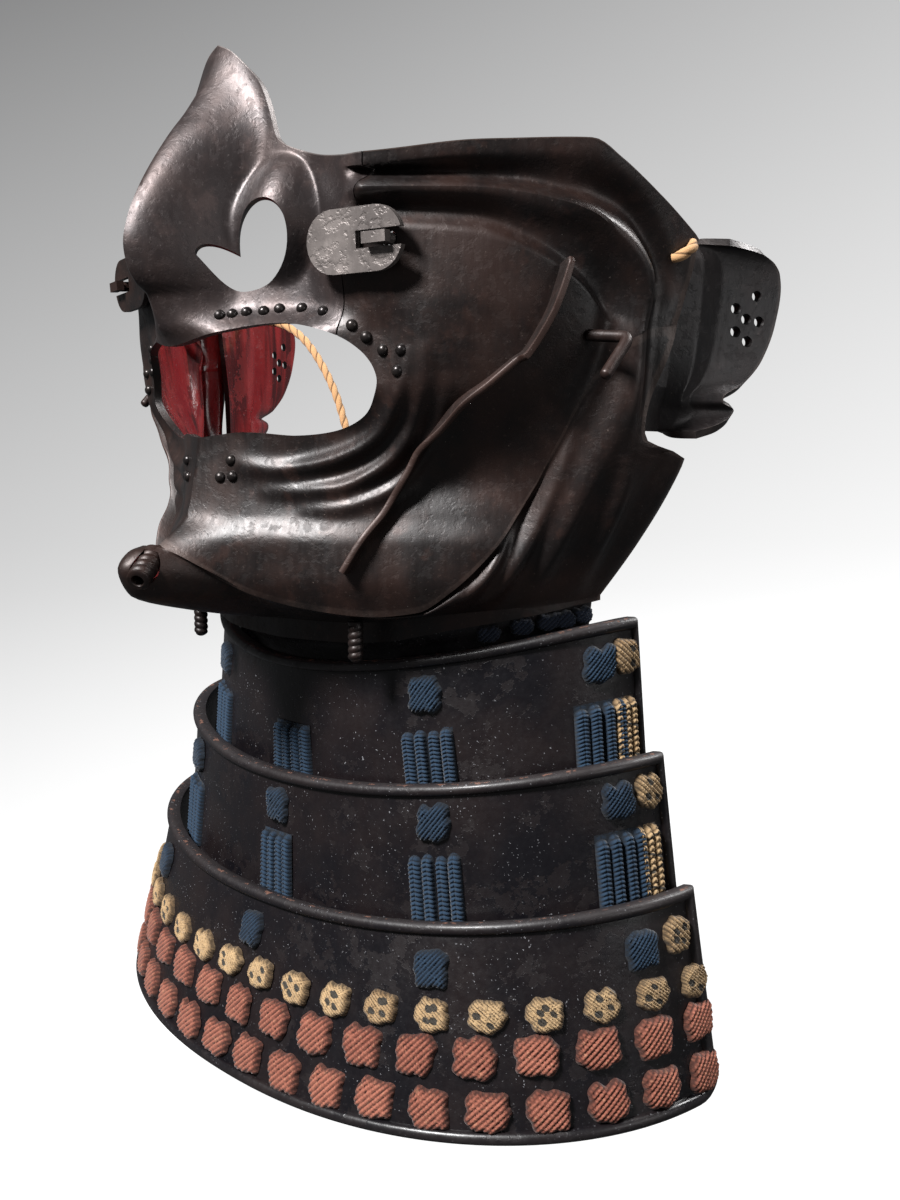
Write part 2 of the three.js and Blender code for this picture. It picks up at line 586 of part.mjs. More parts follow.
// Cheek strips: a thin band that stands on edge from the temple down to the jaw, a row for each bend.
const STRIP_LINE = [
  { angle: 70.8, height: 0.545, stand: 1.1 },
  { angle: 69.2, height: 0.473, stand: 1.4 },
  { angle: 65.6, height: 0.392, stand: 1.4 },
  { angle: 64.4, height: 0.382, stand: 0.8 },
  { angle: 60.6, height: 0.346, stand: 0.75 },
  { angle: 55.8, height: 0.306, stand: 0.75 },
  { angle: 52.3, height: 0.257, stand: 0.8 },
  { angle: 48.1, height: 0.194, stand: 0.8 },
  { angle: 42.0, height: 0.105, stand: 0.8 },
  { angle: 36.4, height: 0.029, stand: 0.85 },
  { angle: 34.2, height: -0.005, stand: 0.9 },
];
const STRIP_SEAT = 0.7; // the seat gap and the face's own curve between two bends
function cheekStrip() {
  const frames = STRIP_LINE.map((row) => faceFrame(row.angle, row.height * FACE_HEIGHT));
  const corners = frames.map((frame, i) => {
    const before = frames[Math.max(i - 1, 0)].point;
    const after = frames[Math.min(i + 1, frames.length - 1)].point;
    const side = after.clone().sub(before).normalize().cross(frame.out).normalize();
    const stand = STRIP_LINE[i].stand * STRIP_HEIGHT;
    return [[-0.5, 0], [0.5, 0], [0.5, stand], [-0.5, stand]].map(([across, up]) => frame.point.clone()
      .addScaledVector(side, across * STRIP_WALL).addScaledVector(frame.out, STRIP_SEAT + up));
  });
  return loftGeometry(corners);
}
// A closed solid through rings of the same number of corners.
function loftGeometry(rings) {
  const sides = rings[0].length;
  const vertices = rings.flat().flatMap((p) => [p.x, p.y, p.z]);
  const index = [];
  for (let i = 0; i + 1 < rings.length; i += 1) {
    for (let k = 0; k < sides; k += 1) {
      const a = i * sides + k;
      const b = i * sides + ((k + 1) % sides);
      index.push(a, b, b + sides, a, b + sides, a + sides);
    }
  }
  const last = (rings.length - 1) * sides;
  for (let k = 1; k + 1 < sides; k += 1) {
    index.push(0, k + 1, k);
    index.push(last, last + k, last + k + 1);
  }
  const geometry = new THREE.BufferGeometry();
  geometry.setAttribute("position", new THREE.Float32BufferAttribute(vertices, 3));
  geometry.setIndex(index);
  const solid = toSolid(geometry);
  if (solid.volume() > 0) return geometry;
  for (let i = 0; i < index.length; i += 3) [index[i + 1], index[i + 2]] = [index[i + 2], index[i + 1]];
  geometry.setIndex(index);
  return geometry;
}
// A round rod through points.
function rodGeometry(points, radius, sides, steps) {
  const path = new THREE.CatmullRomCurve3(points, false, "catmullrom", 0.5);
  const section = new THREE.Shape();
  for (let k = 0; k < sides; k += 1) {
    const a = (2 * Math.PI * k) / sides;
    const corner = [radius * Math.cos(a), radius * Math.sin(a)];
    if (k === 0) section.moveTo(...corner);
    else section.lineTo(...corner);
  }
  return new THREE.ExtrudeGeometry(section, { steps, bevelEnabled: false, extrudePath: path });
}

// Cord hooks: an L of round rod that leaves the cheek sideways and turns forward and down.
const HOOK_PLACE = { angle: 75.2, height: 0.426 };
const HOOK_SEAT = 0.9; // the seat gap and the rod's slanting end
const HOOK_OUT = new THREE.Vector3(1, 0.12, -0.1);
const HOOK_DOWN = new THREE.Vector3(0, -0.72, -0.74);
const HOOK_BEND = 0.14; // share of the rod's first leg that the bend takes
function cordHook() {
  const frame = faceFrame(HOOK_PLACE.angle, HOOK_PLACE.height * FACE_HEIGHT);
  const base = frame.point.clone().addScaledVector(HOOK_OUT, HOOK_SEAT);
  const bend = frame.point.clone().addScaledVector(HOOK_OUT, HOOK_REACH);
  const end = bend.clone().addScaledVector(HOOK_DOWN, HOOK_DROP);
  const before = bend.clone().lerp(base, HOOK_BEND);
  const after = bend.clone().lerp(end, HOOK_BEND);
  const path = new THREE.CurvePath();
  path.add(new THREE.LineCurve3(base, before));
  path.add(new THREE.QuadraticBezierCurve3(before, bend, after));
  path.add(new THREE.LineCurve3(after, end));
  const section = new THREE.Shape().absarc(0, 0, HOOK_RADIUS, 0, 2 * Math.PI, false);
  return new THREE.ExtrudeGeometry(section,
    { steps: 10, bevelEnabled: false, extrudePath: path, curveSegments: 4 });
}

// Sweat tube: a short open tube that leaves the chin forward, sideways and down.
const TUBE_SEAT = { across: 0.016, reach: 0.9375, height: 0.022 }; // shares of the face's radius and height
const TUBE_AXIS = new THREE.Vector3(0.45, -0.73, -0.52).normalize();
const TUBE_SIDES = 14;
function alongTube(geometry) {
  const turn = new THREE.Quaternion().setFromUnitVectors(new THREE.Vector3(0, 1, 0), TUBE_AXIS);
  return geometry.applyQuaternion(turn).translate(TUBE_SEAT.across * FACE_RADIUS,
    FACE_DEPTH - TUBE_SEAT.reach * FACE_RADIUS, TUBE_SEAT.height * FACE_HEIGHT);
}
function sweatTube() {
  const profile = [[TUBE_BORE, 0], [TUBE_RADIUS, 0], [TUBE_RADIUS, TUBE_LENGTH], [TUBE_BORE, TUBE_LENGTH],
    [TUBE_BORE, 0]].map(([x, y]) => new THREE.Vector2(x, y));
  return alongTube(new THREE.LatheGeometry(profile, TUBE_SIDES));
}
const tubeCutter = () => alongTube(new THREE.CylinderGeometry(TUBE_RADIUS + SEAT_GAP, TUBE_RADIUS + SEAT_GAP,
  2 * TUBE_LENGTH, TUBE_SIDES).translate(0, 0.3 * TUBE_LENGTH, 0));

// Chin pegs: the cords are tied round them under the jaw.
const PEG_PLACE = { angle: 34.3, way: 0.45 };
const PEG_SIDES = 12;
function chinPeg() {
  const seat = throatPoint(PEG_PLACE.angle, PEG_PLACE.way);
  return new THREE.CylinderGeometry(PEG_RADIUS, PEG_RADIUS, PEG_LENGTH, PEG_SIDES).rotateX(Math.PI / 2)
    .translate(seat.x, seat.y, seat.z - PEG_SEAT - PEG_LENGTH / 2);
}

// Ear plates: riveted behind the face's rear edge, a row for each height. Reach is the rear edge's distance
// behind the upright axis, as a share of EAR_REACH. The plate leans out behind the face.
const EAR_PLATE = [
  { height: 0.608, reach: 0.789 },
  { height: 0.581, reach: 0.964 },
  { height: 0.538, reach: 1 },
  { height: 0.468, reach: 0.951 },
  { height: 0.398, reach: 0.829 },
  { height: 0.352, reach: 0.658 },
  { height: 0.324, reach: 0.467 },
  { height: 0.314, reach: 0.461 },
  { height: 0.3, reach: 0.566 },
  { height: 0.287, reach: 0.533 },
  { height: 0.27, reach: 0.398 },
  { height: 0.258, reach: 0.211 },
];
const EAR_LEAN = 0.21;
const EAR_PLANE = { across: 1.0125, reach: 0.1 }; // where the leaning plane crosses, as shares
const EAR_ROOT_ANGLES = [86, 89, 93];
const EAR_COLUMNS = [0.4, 0.75, 1]; // shares of the way from the root to the rear edge
const EAR_CLEARANCE = 2 * SEAT_GAP - FOLD_RISE.groove; // the grooves stand in behind the plain face
const EAR_HOLE_RADIUS = 1.2;
const EAR_HOLES = [
  { reach: 0.803, height: 0.521 },
  { reach: 0.638, height: 0.495 },
  { reach: 0.72, height: 0.476 },
  { reach: 0.822, height: 0.472 },
  { reach: 0.635, height: 0.451 },
  { reach: 0.724, height: 0.433 },
];
function insideRadius(angle, z) {
  const edge = jawHeight(angle);
  if (z >= edge) return plainRadius(angle, z) - IRON_WALL - EAR_CLEARANCE;
  const neckZ = FACE_HEIGHT * byAngle(NECK_TOP, "height", angle);
  const p = throatPoint(angle, (edge - z) / (edge - neckZ));
  return Math.hypot(p.x, p.y - FACE_DEPTH) - IRON_WALL - EAR_CLEARANCE;
}
function earPlate() {
  const outerGrid = EAR_PLATE.map((row) => {
    const z = row.height * FACE_HEIGHT;
    const root = EAR_ROOT_ANGLES.map((angle) => around(angle, insideRadius(angle, z), z));
    const start = root[root.length - 1];
    const across = EAR_PLANE.across * FACE_RADIUS + EAR_LEAN * EAR_REACH * (row.reach - EAR_PLANE.reach);
    const end = new THREE.Vector3(across, FACE_DEPTH + row.reach * EAR_REACH, z);
    return [...root, ...EAR_COLUMNS.map((share) => start.clone().lerp(end, share))];
  });
  let plate = toSolid(wallGeometry(outerGrid, insetGrid(outerGrid, EAR_PLATE_WALL)));
  for (const hole of EAR_HOLES) {
    plate = plate.subtract(toSolid(new THREE.CylinderGeometry(EAR_HOLE_RADIUS, EAR_HOLE_RADIUS, EAR_REACH, 8)
      .rotateZ(Math.PI / 2)
      .translate(FACE_RADIUS, FACE_DEPTH + hole.reach * EAR_REACH, hole.height * FACE_HEIGHT)));
  }
  return toGeometry(plate);
}

// Lames of the throat guard. Each edge is an oval in plan about the face's upright axis: half is a share of
// NECK_HALF_WIDTH, ahead and behind are shares of NECK_DEPTH, and the drops of its front and rear ends are
// shares of THROAT_HEIGHT. The neck lame hangs inside the shell's flange.
const NECK_INSIDE = IRON_WALL + 2 * SEAT_GAP;
const LAMES = [
  { name: "neck_lame", rim: 0,
    top: { half: 1 - NECK_INSIDE / NECK_HALF_WIDTH, ahead: 1 - NECK_INSIDE / NECK_DEPTH, behind: 0,
      square: 1.97, frontDrop: 0.134, rearDrop: 0.071 },
    bottom: { half: 0.935, ahead: 0.671, behind: 0, square: 1.85, frontDrop: 0.259, rearDrop: 0.176 } },
  { name: "top_lame", rim: LAME_RIM,
    top: { half: 1.097, ahead: 0.927, behind: 0.11, square: 1.8, frontDrop: 0.197, rearDrop: 0.098 },
    bottom: { half: 1.129, ahead: 0.915, behind: 0.122, square: 2, frontDrop: 0.477, rearDrop: 0.393 } },
  { name: "middle_lame", rim: LAME_RIM,
    top: { half: 1.21, ahead: 1.024, behind: 0.122, square: 2.1, frontDrop: 0.418, rearDrop: 0.343 },
    bottom: { half: 1.266, ahead: 1.054, behind: 0.122, square: 2.2, frontDrop: 0.703, rearDrop: 0.628 } },
  { name: "bottom_lame", rim: LAME_RIM,
    top: { half: 1.339, ahead: 1.171, behind: 0.122, square: 2.2, frontDrop: 0.649, rearDrop: 0.582 },
    bottom: { half: 1.468, ahead: 1.422, behind: 0.049, square: 2.24, frontDrop: 1, rearDrop: 0.959 } },
];
const LAME_COLUMNS = 18;
const LAME_ROWS = [
  { share: 0, rise: 0.3 },
  { share: 0.015, rise: 1 },
  { share: 0.055, rise: 0.8 },
  { share: 0.08, rise: 0 },
  { share: 0.5, rise: 0 },
  { share: 0.93, rise: 0 },
  { share: 0.95, rise: 0.8 },
  { share: 0.985, rise: 1 },
  { share: 1, rise: 0.3 },
];
const PLAIN_ROWS = [{ share: 0, rise: 0 }, { share: 0.5, rise: 0 }, { share: 1, rise: 0 }];
const LAME_ENDS = [{ degrees: 90, rise: 0.3 }, { degrees: 89, rise: 1 }, { degrees: 87, rise: 0.8 },
  { degrees: 86, rise: 0 }];

// A point of a lame at an angle from the front, a share of the way down and a distance out from its face.
function lamePoint(lame, angle, share, out) {
  const at = (name) => mix(lame.top[name], lame.bottom[name], share);
  const turn = rad(Math.abs(angle));
  const side = Math.sign(angle) * Math.sin(turn) ** (2 / at("square"));
  const ahead = Math.cos(turn) ** (2 / at("square"));
  const back = at("behind") - (at("behind") + at("ahead")) * ahead;
  const drop = mix(at("frontDrop"), at("rearDrop"), side * side);
  const p = new THREE.Vector3(at("half") * NECK_HALF_WIDTH * side, FACE_DEPTH + back * NECK_DEPTH,
    -drop * THROAT_HEIGHT);
  if (out === 0) return p;
  const turnStep = 0.1;
  const shareStep = 0.02;
  const held = Math.max(-89.9, Math.min(89.9, angle));
  const along = lamePoint(lame, held + turnStep, share, 0).sub(lamePoint(lame, held - turnStep, share, 0));
  const down = lamePoint(lame, held, share + shareStep, 0).sub(lamePoint(lame, held, share - shareStep, 0));
  return p.addScaledVector(down.cross(along).normalize(), out);
}
function lameGeometry(lame) {
  const ends = LAME_ENDS.map((row) => row.degrees);
  const inside = LAME_COLUMNS - 2 * (ends.length - 1);
  const last = ends[ends.length - 1];
  const degrees = [...ends.slice(0, -1).map((d) => -d),
    ...Array.from({ length: inside + 1 }, (_, i) => mix(-last, last, i / inside)),
    ...ends.slice(0, -1).reverse()];
  const endRise = (angle) => {
    const row = LAME_ENDS.find((end) => Math.abs(end.degrees - Math.abs(angle)) < 1e-6);
    return row ? row.rise : 0;
  };
  const rows = lame.rim > 0 ? LAME_ROWS : PLAIN_ROWS;
  const grid = (outwards) => rows.map((row) => degrees.map((angle) => lamePoint(lame, angle, row.share,
    outwards ? lame.rim * Math.max(row.rise, endRise(angle)) : -LAME_WALL)));
  return wallGeometry(grid(true), grid(false));
}

// Lacing straps lie on the outer face of the upper lame and end behind the lower lame, where the knot is.
const STRAP_STEPS = 3;
const STRAP_SHARES = [-1, 0, 1];
function strapGeometry(lame, angle, width, from, to) {
  const radius = lame.top.half * NECK_HALF_WIDTH * 0.9;
  const half = THREE.MathUtils.radToDeg(width / 2 / radius);
  const columns = STRAP_SHARES.map((share) => angle + share * half);
  const shares = Array.from({ length: STRAP_STEPS + 1 }, (_, i) => mix(from, to, i / STRAP_STEPS));
  const grid = (out) => shares.map((share) => columns.map((a) => lamePoint(lame, a, share, out)));
  return wallGeometry(grid(SEAT_GAP + BRAID_THICKNESS), grid(SEAT_GAP));
}

// Columns of lacing, by the angle round a lame; share is the part of the upper lame that a strap covers.
const STRAP_COLUMNS = [
  { name: "middle", degrees: 0 },
  { name: "left", degrees: 34.5 },
  { name: "right", degrees: -34.5 },
  { name: "left_rear", degrees: 75 },
  { name: "right_rear", degrees: -75 },
];
const EDGE_COLUMNS = [{ name: "left", degrees: 82.6 }, { name: "right", degrees: -82.6 }];
const STRAP_ROWS = [
  { name: "neck", lame: 0, from: 0.52, to: 0.9, middle: false, edge: false },
  { name: "upper", lame: 1, from: 0.47, to: 0.92, middle: true, edge: true },
  { name: "lower", lame: 2, from: 0.43, to: 0.92, middle: true, edge: true },
];

// Hanging cord: from the far rear corner of the rim in behind the cheeks, down, and up to the near corner.
const CORD_SIDES = 6;
const CORD_STEPS = 42;
const CORD_ROUTE = [
  { across: 76.2, back: 73, height: 63.8 },
  { across: 72, back: 77.5, height: 63.6 },
  { across: 66, back: 79.5, height: 61.4 },
  { across: 59, back: 80, height: 56.8 },
  { across: 51.5, back: 80, height: 49 },
  { across: 45.8, back: 80, height: 40.5 },
  { across: 41.6, back: 80, height: 31 },
  { across: 35.5, back: 80, height: 17 },
  { across: 25.5, back: 80, height: 4 },
  { across: 13, back: 80, height: -3.4 },
];
const CORD_LOW = { across: 0, back: 80, height: -6 };
function cordPoints() {
  const far = CORD_ROUTE.map((row) => new THREE.Vector3(-row.across, row.back, row.height));
  const near = CORD_ROUTE.slice().reverse().map((row) => new THREE.Vector3(row.across, row.back, row.height));
  return [...far, new THREE.Vector3(CORD_LOW.across, CORD_LOW.back, CORD_LOW.height), ...near];
}

// Largest body of a cut solid: a cut along a curved wall may leave crumbs.
function mainBody(solid) {
  return solid.decompose().reduce((a, b) => (a.volume() > b.volume() ? a : b));
}

// The iron shell, whole, then cut into the mask and the nose piece.
const FRONT_CUT = { from: -40, to: 52 };
const signedAngles = [...COLUMN_ANGLES.slice(1).reverse().map((a) => -a), ...COLUMN_ANGLES];
const shellRow = (row) => signedAngles.map((angle) => shellPoint(angle, row));
const shellGrid = Array.from({ length: SHELL_ROWS + 1 }, (_, row) => shellRow(row));
const wholeShell = toSolid(wallGeometry(shellGrid, insetGrid(shellGrid, IRON_WALL)));
const mouth = toSolid(throughFront(mouthShape(), FRONT_CUT.from, FRONT_CUT.to));
const openFace = wholeShell.subtract(mouth);
const nostril = nostrilCutter();
const nosePiece = openFace
  .intersect(toSolid(throughFront(nosePieceShape(-SEAM_GAP / 2), FRONT_CUT.from, FRONT_CUT.to)))
  .subtract(toSolid(nostril)).subtract(toSolid(mirrored(mergeVertices(nostril))));
const pinHole = shaftGeometry(PIN_RADIUS + PIN_CLEARANCE, PIN_INNER - 1, LOCK_STAND);
const mask = openFace
  .subtract(toSolid(throughFront(nosePieceShape(SEAM_GAP / 2), FRONT_CUT.from, FRONT_CUT.to)))
  .subtract(toSolid(tubeCutter()))
  .subtract(toSolid(pinHole)).subtract(toSolid(mirrored(mergeVertices(pinHole))));

add("mask_shell", toGeometry(mainBody(mask)), IRON);
add("nose_piece", toGeometry(mainBody(nosePiece)), GREY_IRON);
addPair("ear_plate", earPlate(), IRON);
addPair("lock_plate", lockPlate(), PALE_IRON);
addPair("turn_pin", turnPin(), PALE_IRON);
addPair("cheek_strip", cheekStrip(), IRON);
addPair("cord_hook", cordHook(), IRON);
add("sweat_tube", sweatTube(), IRON);
addPair("chin_peg", chinPeg(), IRON);
LAMES.forEach((lame) => add(lame.name, lameGeometry(lame), LACQUER));
for (const row of STRAP_ROWS) {
  const lame = LAMES[row.lame];
  for (const place of STRAP_COLUMNS) {
    if (place.degrees === STRAP_COLUMNS[0].degrees && !row.middle) continue;
    const strap = strapGeometry(lame, place.degrees, BRAID_WIDTH, row.from, row.to);
    add(`blue_strap_${row.name}_${place.name}`, strap, BLUE_SILK);
  }
  for (const place of EDGE_COLUMNS) {
    if (!row.edge) continue;
    const strap = strapGeometry(lame, place.degrees, EDGE_BRAID_WIDTH, row.from, row.to);
    add(`edge_strap_${row.name}_${place.name}`, strap, TAN_SILK);
  }
}
add("hanging_cord", rodGeometry(cordPoints(), CORD_RADIUS, CORD_SIDES, CORD_STEPS), CORD);

export default guard;
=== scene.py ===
"""The finished look of a samurai face guard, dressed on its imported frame.

Lengths in the classes are in millimetres, in the frame of the part: the origin is the chin seat, front is -Y,
+Z is up and +X is the wearer's left. Meshes are written in metres.
"""

import logging
import math
from dataclasses import dataclass, field
from enum import Enum
from typing import Callable, Sequence

import bmesh
import bpy
import numpy as np
from mathutils import Matrix, Vector

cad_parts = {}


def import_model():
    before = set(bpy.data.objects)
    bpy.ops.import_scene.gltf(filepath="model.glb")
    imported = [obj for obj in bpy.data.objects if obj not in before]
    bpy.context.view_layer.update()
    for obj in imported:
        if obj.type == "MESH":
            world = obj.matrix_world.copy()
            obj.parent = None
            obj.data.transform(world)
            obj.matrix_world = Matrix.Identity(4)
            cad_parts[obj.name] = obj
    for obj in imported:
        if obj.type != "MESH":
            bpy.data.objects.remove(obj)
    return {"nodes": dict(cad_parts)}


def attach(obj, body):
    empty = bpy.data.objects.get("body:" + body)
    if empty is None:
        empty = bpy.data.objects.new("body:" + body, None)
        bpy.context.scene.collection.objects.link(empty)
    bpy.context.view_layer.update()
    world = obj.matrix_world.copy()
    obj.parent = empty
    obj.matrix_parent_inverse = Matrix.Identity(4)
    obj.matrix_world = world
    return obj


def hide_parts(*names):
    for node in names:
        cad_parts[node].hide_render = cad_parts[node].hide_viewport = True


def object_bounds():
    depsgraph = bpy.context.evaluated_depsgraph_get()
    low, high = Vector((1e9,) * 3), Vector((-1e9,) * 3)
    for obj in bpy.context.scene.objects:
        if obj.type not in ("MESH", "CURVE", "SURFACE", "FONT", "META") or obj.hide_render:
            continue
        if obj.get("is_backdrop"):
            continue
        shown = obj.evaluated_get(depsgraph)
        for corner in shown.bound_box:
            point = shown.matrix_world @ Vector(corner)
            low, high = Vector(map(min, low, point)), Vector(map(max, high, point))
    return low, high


Array = np.ndarray
Number = float | int
Colour = tuple[float, float, float]
Place = tuple[float, float, float]
Faces = list[tuple[int, ...]]
Mesh = tuple[Array, Faces]
LOG = logging.getLogger("face_guard")

MM = 0.001
ROOT_BODY = "guard"
IRON_WALL = 1.8
SEAT_GAP = 0.3
MIRROR = np.array([-1.0, 1.0, 1.0])
UPWARD = np.array([0.0, 0.0, 1.0])
SIDES = (("left", 1), ("right", -1))


class Slot(Enum):
    """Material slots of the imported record."""

    DARK_IRON = "dark_iron"
    GREY_IRON = "grey_iron"
    BLACK_LACQUER = "black_lacquer"
    BLUE_SILK = "blue_silk"
    TAN_SILK = "tan_silk"
    TAN_CORD = "tan_cord"


# Shader maths


class Val:
    """A shader socket that takes part in Python expressions; each operator adds its Math node."""

    def __init__(self, graph: "Graph", socket: bpy.types.NodeSocket) -> None:
        """Keeps the graph and the output socket."""
        self.graph = graph
        self.socket = socket

    def _math(self, operation: str, *terms: "Val | Number") -> "Val":
        """A Math node over the terms."""
        node = self.graph.node("ShaderNodeMath", {"operation": operation}, *terms)
        return Val(self.graph, node.outputs[0])

    def __add__(self, other: "Val | Number") -> "Val":
        """Sum."""
        return self._math("ADD", self, other)

    def __radd__(self, other: Number) -> "Val":
        """Sum with a number on the left."""
        return self._math("ADD", other, self)

    def __sub__(self, other: "Val | Number") -> "Val":
        """Difference."""
        return self._math("SUBTRACT", self, other)

    def __rsub__(self, other: Number) -> "Val":
        """Difference from a number."""
        return self._math("SUBTRACT", other, self)

    def __mul__(self, other: "Val | Number") -> "Val":
        """Product."""
        return self._math("MULTIPLY", self, other)

    def __rmul__(self, other: Number) -> "Val":
        """Product with a number on the left."""
        return self._math("MULTIPLY", other, self)

    def power(self, exponent: Number) -> "Val":
        """This value to a power."""
        return self._math("POWER", self, exponent)

    def step(self, low: Number, high: Number) -> "Val":
        """A smooth step from 0 at low to 1 at high."""
        node = self.graph.node("ShaderNodeMapRange", {"interpolation_type": "SMOOTHSTEP"}, self, low, high)
        return Val(self.graph, node.outputs[0])


class Graph:
    """The node tree of one material."""

    def __init__(self, name: str) -> None:
        """Starts a material with a Principled shader.

        Args:
            name: the material's name.
        """
        self.material = bpy.data.materials.new(name)
        self.material.use_nodes = True
        self.tree = self.material.node_tree
        self.shader = self.tree.nodes["Principled BSDF"]
        self.where = self.node("ShaderNodeTexCoord", {}).outputs["Object"]

    def node(self, kind: str, settings: dict[str, object], *values: object,
             **named: object) -> bpy.types.Node:
        """One node of any type.

        Args:
            kind: Blender's name of the node type.
            settings: the node's own settings, set before its sockets.
            *values: values or links for its first sockets, in order.
            **named: values or links for sockets by name, with _ for a space; None leaves one alone.

        Returns:
            The new node.
        """
        made = self.tree.nodes.new(kind)
        for key, value in settings.items():
            setattr(made, key, value)
        for socket, value in zip([s for s in made.inputs if s.enabled], values):
            self.feed(socket, value)
        for key, value in named.items():
            self.feed(made.inputs[key.replace("_", " ")], value)
        return made

    def vector(self, operation: str, *values: object) -> bpy.types.NodeOutputs:
        """The outputs of a Vector Math node."""
        return self.node("ShaderNodeVectorMath", {"operation": operation}, *values).outputs

    def feed(self, socket: bpy.types.NodeSocket, value: object) -> None:
        """Links or sets one socket.

        Args:
            socket: an input socket.
            value: a value, a link or None.
        """
        if value is None:
            return
        if isinstance(value, Val):
            self.tree.links.new(value.socket, socket)
        elif isinstance(value, bpy.types.NodeSocket):
            self.tree.links.new(value, socket)
        elif isinstance(value, tuple) and socket.type == "RGBA":
            socket.default_value = (*value, 1.0)
        else:
            socket.default_value = value

    def stretched(self, scale: Place) -> bpy.types.NodeSocket:
        """The place on the piece, stretched along each axis."""
        return self.vector("MULTIPLY", self.where, scale)[0]

    def noise(self, size_mm: float, detail: float = 3.0, rough: float = 0.55,
              place: bpy.types.NodeSocket | None = None) -> Val:
        """Noise with features of a size in millimetres."""
        node = self.node("ShaderNodeTexNoise", {}, Vector=place or self.where, Scale=1.0 / (size_mm * MM),
                         Detail=detail, Roughness=rough)
        return Val(self, node.outputs["Fac"])

    def attribute(self, name: str) -> Val:
        """A number stored on the mesh."""
        return Val(self, self.node("ShaderNodeAttribute", {"attribute_name": name}).outputs["Fac"])

    def mix(self, factor: Val | Number, first: object, second: object) -> bpy.types.NodeSocket:
        """A colour between two colours."""
        made = self.node("ShaderNodeMix", {"data_type": "RGBA"}, factor, first, second)
        return next(socket for socket in made.outputs if socket.enabled)

    def bump(self, height: Val, strength: float, distance_mm: float) -> bpy.types.NodeSocket:
        """A normal bent by a height."""
        made = self.node("ShaderNodeBump", {}, Strength=strength, Distance=distance_mm * MM, Height=height)
        return made.outputs[0]

    def surface(self, **named: object) -> bpy.types.Material:
        """Feeds the Principled shader's sockets and returns the material."""
        for key, value in named.items():
            self.feed(self.shader.inputs[key.replace("_", " ")], value)
        return self.material


# Finishes


@dataclass(frozen=True)
class IronFinish:
    """Russet iron: dark and finely brushed, with brown patches, pits and worn edges."""

    name: str
    dark: Colour
    brown: Colour
    worn: Colour
    roughness: float
    metallic: float
    pitting: float = 0.3

    def make(self) -> bpy.types.Material:
        """The material."""
        g = Graph(self.name)
        cloud = g.noise(17, 5, 0.62)
        patch = g.noise(6, 4, 0.6)
        fine = g.noise(0.9, 5, 0.65)
        hairs = g.noise(1.3, 4, 0.65, g.stretched((1.0, 1.0, 0.1)))
        grain = g.noise(0.45, 2, 0.5)
        base = g.mix(cloud.step(0.36, 0.66), self.dark, self.brown)
        base = g.mix(patch.step(0.56, 0.72) * 0.5, base, tuple(1.7 * c for c in self.brown))
        base = g.mix(fine.step(0.6, 0.76) * 0.3, base, self.worn)
        wear = (g.attribute("wear") * (0.3 + patch + fine * 0.4)).step(0.35, 0.95)
        base = g.mix(wear * 0.4, base, self.worn)
        base = g.mix(grain.step(0.74, 0.8) * 0.3, base, (0.35, 0.31, 0.28))
        pits = g.noise(2.2, 3, 0.6).step(0.36, 0.5)
        height = fine * 0.35 + hairs * 0.25 + pits * self.pitting + patch * 0.5
        rough = self.roughness + (cloud - 0.5) * 0.25 + (hairs - 0.5) * 0.22 + (1 - pits) * 0.08
        return g.surface(Base_Color=base, Metallic=self.metallic, Roughness=rough, Specular_IOR_Level=0.5,
                         Normal=g.bump(height, 0.45, 0.16))


@dataclass(frozen=True)
class LacquerFinish:
    """Lacquer with a soft gloss, dust in specks, and brown chips where the wear attribute says so."""

    name: str
    colour: Colour
    cloudy: Colour
    chip: Colour
    roughness: float
    coat: float
    streaks: float = 0.0

    def make(self) -> bpy.types.Material:
        """The material."""
        g = Graph(self.name)
        cloud = g.noise(24, 4, 0.6)
        patch = g.noise(5, 4, 0.6)
        fine = g.noise(1.2, 4, 0.6)
        bands = g.noise(5, 3, 0.55, g.stretched((1.0, 1.0, 0.08)))
        base = g.mix(cloud.step(0.35, 0.7), self.colour, self.cloudy)
        if self.streaks:
            base = g.mix(bands.step(0.42, 0.6) * self.streaks, base, tuple(0.2 * c for c in self.colour))
        chips = (g.attribute("wear") * g.noise(2.6, 5, 0.7)).step(0.52, 0.6)
        base = g.mix(g.attribute("wear") * (0.2 + fine * 0.3), base, (0.03, 0.024, 0.024))
        base = g.mix(chips * 0.8, base, self.chip)
        flaked = (g.noise(9, 5, 0.7) - cloud * 0.4).step(0.36, 0.385)
        base = g.mix(flaked * 0.5, base, self.cloudy)
        dusty = g.noise(14, 3, 0.6).step(0.42, 0.62)
        base = g.mix(g.noise(0.5, 1, 0.5).step(0.70, 0.77) * (0.12 + dusty * 0.4), base, (0.3, 0.3, 0.32))
        rough = self.roughness + (cloud - 0.5) * 0.3 + (patch - 0.5) * 0.25 + (fine - 0.5) * 0.3
        rough = rough + chips * 0.25 + flaked * 0.12 + g.attribute("wear") * 0.22
        height = patch * 1.2 + fine * 0.3 - chips * 0.5 - flaked * 0.25
        return g.surface(Base_Color=base, Roughness=rough, Specular_IOR_Level=0.35, Coat_Weight=self.coat,
                         Coat_Roughness=0.2, Normal=g.bump(height, 0.3, 0.4))


